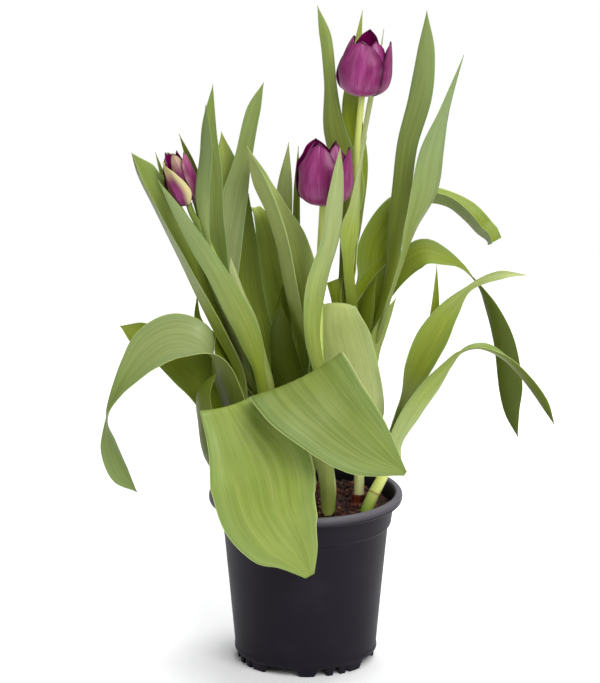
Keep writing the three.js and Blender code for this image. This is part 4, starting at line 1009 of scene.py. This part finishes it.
def makePot():
    # P(s, a) = (r(s) cos a, r(s) sin a, z(s, a)): z dips to the floor where a foot stands
    shape, profile = potShape, roundedProfile(potCorners)
    sides, footTop = shape["sides"], shape["footTop"]
    turn = fullTurn(sides)
    feet = []
    for k in range(shape["footCount"]):
        place = shape["firstFoot"] + k * 360 / shape["footCount"]
        feet.append((place, *shape["wideFoot"]))
        if k % 2 == 0:
            feet += [(place + shift, *shape["narrowFoot"]) for shift in shape["narrowPlaces"]]
    stand = np.full(sides, 0.02)
    for place, halfTop, halfBottom in feet:
        away = np.abs((np.degrees(turn) - place + 180) % 360 - 180)
        stand = np.maximum(stand, np.clip((halfTop - away) / (halfTop - halfBottom), 0, 1))
    r, z = profile[:, :1], profile[:, 1:]
    isFoot = (z < footTop) & (r > 39) & (r < 43.2)
    heights = np.where(isFoot, footTop - (footTop - z) * stand, z)
    points = np.stack([r * np.cos(turn), r * np.sin(turn), heights], -1)
    body = np.vstack([points[1:-1].reshape(-1, 3), (0, 0, profile[0, 1]), (0, 0, profile[-1, 1])])
    # lip: the top of the rolled lip, which gets a painted highlight and a smoother surface
    lip = smooth((body[:, 2] - shape["lipFrom"]) / 7) ** 1.5 * smooth((np.hypot(body[:, 0], body[:, 1]) - 54.5) / 1.5)
    faces = closedTubeFaces(len(profile) - 2, sides)
    makePiece("pot_shell", body, faces, potPlastic, ["pot"], {"lip": lip})


makePot()
print("pot made")


# Soil: coarse dark peat, a little mounded and rough, with crumbs and fibres lying on it.
soilShape = {
    "radius": 53.6,
    "rings": 130,
    "sides": 300,
    "heights": ([0, 16, 34, 48, 53], [98.2, 97.8, 98.2, 97.0, 96.4]),  # radius, height
    "roughness": (2.2, 1.2, 0.6),  # height of the lumps of each size
    "cells": (11, 5, 2.2),
    "mound": 4.5,  # how much higher the soil is behind the stems
    "moundAt": (18, 26),
    "moundWidth": (22, 16),
    "heap": 1.6,  # against each stem
    "heapWidth": 9,
    "dip": 2.0,  # round the bulb that stands out
    "wall": [(51.6, 89), (49.4, 86.4), (42.3, 9.4), (41, 8)],  # radius and height below the edge, inside the pot
    "crumbs": 1500,
    "crumbSize": (0.5, 1.7),  # the smallest, and how much more the largest has
    "fibres": 260,
    "fibreLength": (2, 7),
    "fibreThickness": (0.12, 0.35),
}
peatLook = {
    "dark": colour(26, 11, 8),
    "brown": colour(48, 20, 14),
    "red": colour(84, 36, 24),
    "straw": colour(140, 92, 60),
    "roughness": 0.85,
    "gloss": 0.35,
}


def makePeat():
    # dark and brown patches with red grains; the tone of each piece turns it red, then straw
    look = peatLook
    material, tree, shader = newMaterial("peat", look["roughness"], Specular_IOR_Level=look["gloss"])
    where = addNode(tree, "ShaderNodeTexCoord").outputs["Object"]
    grain = noise(tree, where, 1400.0, 4.0)
    tone = mark(tree, "tone")
    skin = layered(
        tree, look, "dark", (band(tree, noise(tree, where, 260.0, 6.0), 0.35, 0.68), "brown"),
        (times(tree, band(tree, grain, 0.52, 0.72), 0.6), "red"), (band(tree, tone, 0.45, 0.75), "red"),
        (band(tree, tone, 0.75, 1.0), "straw"))
    paint(tree, shader, skin, grain, 0.8, 0.0006)
    return material


peat = makePeat()


def lumps(x, y, cell, seed):
    # smooth random heights between 0 and 1 on a square lattice of the given cell, eased between its corners
    lattice = np.random.default_rng(seed).random((64, 64))
    gx, gy = np.asarray(x) / cell + 300, np.asarray(y) / cell + 300
    ix, iy = np.floor(gx).astype(int), np.floor(gy).astype(int)
    fx, fy = smooth(gx - ix), smooth(gy - iy)
    near = mixed(lattice[ix % 64, iy % 64], lattice[(ix + 1) % 64, iy % 64], fx)
    far = mixed(lattice[ix % 64, (iy + 1) % 64], lattice[(ix + 1) % 64, (iy + 1) % 64], fx)
    return mixed(near, far, fy)


def soilHeight(x, y):
    # a low mound, lumps of three sizes, and a little heap against each stem but the top one, round which the soil dips
    shape = soilShape
    r = np.hypot(x, y)
    z = np.interp(r, *shape["heights"])
    for k, (tall, cell) in enumerate(zip(shape["roughness"], shape["cells"])):
        z = z + tall * (lumps(x, y, cell, 40 + k) - 0.5)
    (backX, backY), (wideX, wideY) = shape["moundAt"], shape["moundWidth"]
    mound = np.exp(-((x - backX) / wideX) ** 2 - ((y - backY) / wideY) ** 2)
    z = z + shape["mound"] * mound * smooth((53 - r) / 8)
    for name in stems:
        middle = stemAt(name, 1.0)[0]
        away = np.hypot(x - middle[0], y - middle[1])
        z = z + (-shape["dip"] if name == "top" else shape["heap"]) * np.exp(-(away / shape["heapWidth"]) ** 2)
    return z


def makeSoil():
    # P(r, a) = (r cos a, r sin a, height): over a round grid, closed down the pot's wall and across its floor
    shape = soilShape
    turn = fullTurn(shape["sides"])
    reach = np.linspace(0, 1, shape["rings"])[1:] ** 0.8 * shape["radius"]
    x, y = np.outer(reach, np.cos(turn)), np.outer(reach, np.sin(turn))
    top = np.stack([x, y, soilHeight(x, y)], -1)
    r, z = np.array(shape["wall"])[:, :, None].transpose(1, 0, 2)
    side = np.stack([r * np.cos(turn), r * np.sin(turn), z + 0 * turn], -1)
    rings = np.concatenate([side[::-1], top[::-1]])
    points = np.vstack([rings.reshape(-1, 3), (0, 0, shape["wall"][-1][1]), (0, 0, soilHeight(0.0, 0.0))])
    tone = lumps(points[:, 0], points[:, 1], 3, 77) * 0.5
    faces = closedTubeFaces(len(rings), shape["sides"])
    makePiece("soil_bed", points, faces, peat, ["soil"], {"tone": tone})


makeSoil()


def scattered(count, seed, widest):
    # places evenly spread over the soil, with its height there
    dice = np.random.default_rng(seed)
    r, a = widest * np.sqrt(dice.random(count)), dice.random(count) * 2 * math.pi
    x, y = r * np.cos(a), r * np.sin(a)
    return dice, np.stack([x, y, soilHeight(x, y)], 1)


def makeCrumbs():
    # each crumb is a twelve-cornered ball squashed, turned and knocked out of shape
    golden = (1 + math.sqrt(5)) / 2
    ball = np.array([
        (-1, golden, 0), (1, golden, 0), (-1, -golden, 0), (1, -golden, 0), (0, -1, golden), (0, 1, golden),
        (0, -1, -golden), (0, 1, -golden), (golden, 0, -1), (golden, 0, 1), (-golden, 0, -1), (-golden, 0, 1)])
    ball /= np.linalg.norm(ball[0])
    tris = np.array([
        (0, 11, 5), (0, 5, 1), (0, 1, 7), (0, 7, 10), (0, 10, 11), (1, 5, 9), (5, 11, 4), (11, 10, 2), (10, 7, 6),
        (7, 1, 8), (3, 9, 4), (3, 4, 2), (3, 2, 6), (3, 6, 8), (3, 8, 9), (4, 9, 5), (2, 4, 11), (6, 2, 10), (8, 6, 7),
        (9, 8, 1)])
    count, (least, more) = soilShape["crumbs"], soilShape["crumbSize"]
    dice, place = scattered(count, 5, 52.5)
    size = least + more * dice.random(count) ** 2.2
    shape = ball[None] * size[:, None, None] * dice.uniform(0.6, 1.35, (count, 12, 1))
    shape = shape * dice.uniform(0.6, 1.2, (count, 1, 3)) * np.array([1, 1, 0.75])
    turn = dice.random(count) * 2 * math.pi
    cos, sin = np.cos(turn)[:, None], np.sin(turn)[:, None]
    x, y, z = np.moveaxis(shape, -1, 0)
    turned = np.stack([x * cos - y * sin, x * sin + y * cos, z], -1)
    points = (turned + place[:, None] + np.array([0, 0, 0.25]) * size[:, None, None]).reshape(-1, 3)
    faces = (tris[None] + 12 * np.arange(count)[:, None, None]).reshape(-1, 3).tolist()
    tone = np.repeat(dice.random(count) ** 1.6, 12)
    makePiece("peat_crumbs", points, faces, peat, (), {"tone": tone})


def makeFibres():
    # P(s, a) = place + heading(s) * s * length + up * (rise * s * length) + thickness round it: a bent four-sided straw
    shape = soilShape
    count = shape["fibres"]
    dice, place = scattered(count, 9, 50)
    long = dice.uniform(*shape["fibreLength"], (count, 1))
    thick = dice.uniform(*shape["fibreThickness"], (count, 1))
    turn, bend, rise = (dice.random((count, 1)) * 2 * math.pi, dice.uniform(-0.9, 0.9, (count, 1)),
                        dice.uniform(-0.1, 0.35, (count, 1)))
    s = np.linspace(-0.5, 0.5, 5)
    heading = turn + bend * s
    spine = np.stack([np.cos(heading) * s * long, np.sin(heading) * s * long, rise * s * long + 0.5], -1)
    across = np.stack([-np.sin(heading), np.cos(heading), 0 * heading], -1)
    ring = fullTurn(4)[:, None]
    girth = (thick * (1 - (2 * s) ** 4 * 0.6))[..., None, None]
    points = ((spine + place[:, None])[:, :, None] + across[:, :, None] * (np.cos(ring) * girth)
              + np.array([0, 0, 1.0]) * (np.sin(ring) * girth))
    oneFibre = np.vstack([tubeFaces(5, 4), [(0, 3, 2, 1), (16, 17, 18, 19)]])
    faces = (oneFibre[None] + 20 * np.arange(count)[:, None, None]).reshape(-1, 4).tolist()
    tone = np.repeat(dice.uniform(0.5, 1, count), 20)
    makePiece("peat_fibres", points.reshape(-1, 3), faces, peat, (), {"tone": tone})


makeCrumbs()
makeFibres()
print("soil made")


# Studio: a pale floor, soft lights, and the camera
studio = {
    "floor": colour(250, 250, 250),
    "backdrop": (1, 1, 1, 1),
    "fill": (0.97, 0.98, 1, 1),
    "fillStrength": 0.3,
    "lights": {  # place in metres, width, height, power in watts, aimed at the middle of the plant
        "frontRight": ((0.9, -1.8, 1.9), 1.7, 1.7, 64),
        "frontLeft": ((-1.7, -0.9, 0.9), 0.6, 1.3, 4),
        "above": ((0.2, 0.5, 2.0), 1.2, 1.2, 36),
    },
    "middle": (-3.5, 0, 200),
    "distance": 2500,
    "aim": (-3.5, 0, 203),
    "elevation": 15.6,
    "lens": 215.2,
}


def makeBackdrop():
    # a white backdrop that lights the plant less than it shows
    world = bpy.data.worlds.new("studio")
    world.use_nodes = True
    tree = world.node_tree
    fill = tree.nodes["Background"]
    fill.inputs["Color"].default_value = studio["fill"]
    fill.inputs["Strength"].default_value = studio["fillStrength"]
    backdrop = addNode(tree, "ShaderNodeBackground", {"Color": studio["backdrop"], "Strength": 1.0})
    seen = addNode(tree, "ShaderNodeLightPath").outputs["Is Camera Ray"]
    both = addNode(tree, "ShaderNodeMixShader", {0: seen, 1: fill.outputs[0], 2: backdrop.outputs[0]})
    tree.links.new(both.outputs[0], tree.nodes["World Output"].inputs["Surface"])
    bpy.context.scene.world = world


def makeFloor(scene):
    mesh = bpy.data.meshes.new("floor")
    mesh.from_pydata([(-1, -1, 0), (1, -1, 0), (1, 1, 0), (-1, 1, 0)], [], [[0, 1, 2, 3]])
    material, tree, shader = newMaterial("floorPaint", 0.9)
    shader.inputs["Base Color"].default_value = studio["floor"]
    mesh.materials.append(material)
    floor = bpy.data.objects.new("floor", mesh)
    scene.collection.objects.link(floor)


def makeLights(scene):
    middle = (np.array(studio["middle"]) + potAxis) / 1000
    for name, (place, width, height, power) in studio["lights"].items():
        lamp = bpy.data.lights.new(name, "AREA")
        lamp.shape = "RECTANGLE"
        lamp.size, lamp.size_y, lamp.energy = width, height, power
        light = bpy.data.objects.new(name, lamp)
        light.location = place
        light.rotation_euler = Vector(middle - np.array(place)).to_track_quat("-Z", "Y").to_euler()
        scene.collection.objects.link(light)


def makeCamera(scene):
    camera = bpy.data.objects.new("camera", bpy.data.cameras.new("camera"))
    camera.data.lens = studio["lens"]
    camera.data.sensor_width = 36
    camera.data.clip_end = 100
    tip = math.radians(studio["elevation"])
    aim = np.array(studio["aim"]) + potAxis
    camera.location = (aim + studio["distance"] * np.array([0, -math.cos(tip), math.sin(tip)])) / 1000
    camera.rotation_euler = (math.pi / 2 - tip, 0, 0)
    scene.collection.objects.link(camera)
    scene.camera = camera


bpy.context.scene.view_settings.view_transform = "Standard"
makeBackdrop()
makeFloor(bpy.context.scene)
makeLights(bpy.context.scene)
makeCamera(bpy.context.scene)
print("studio made")
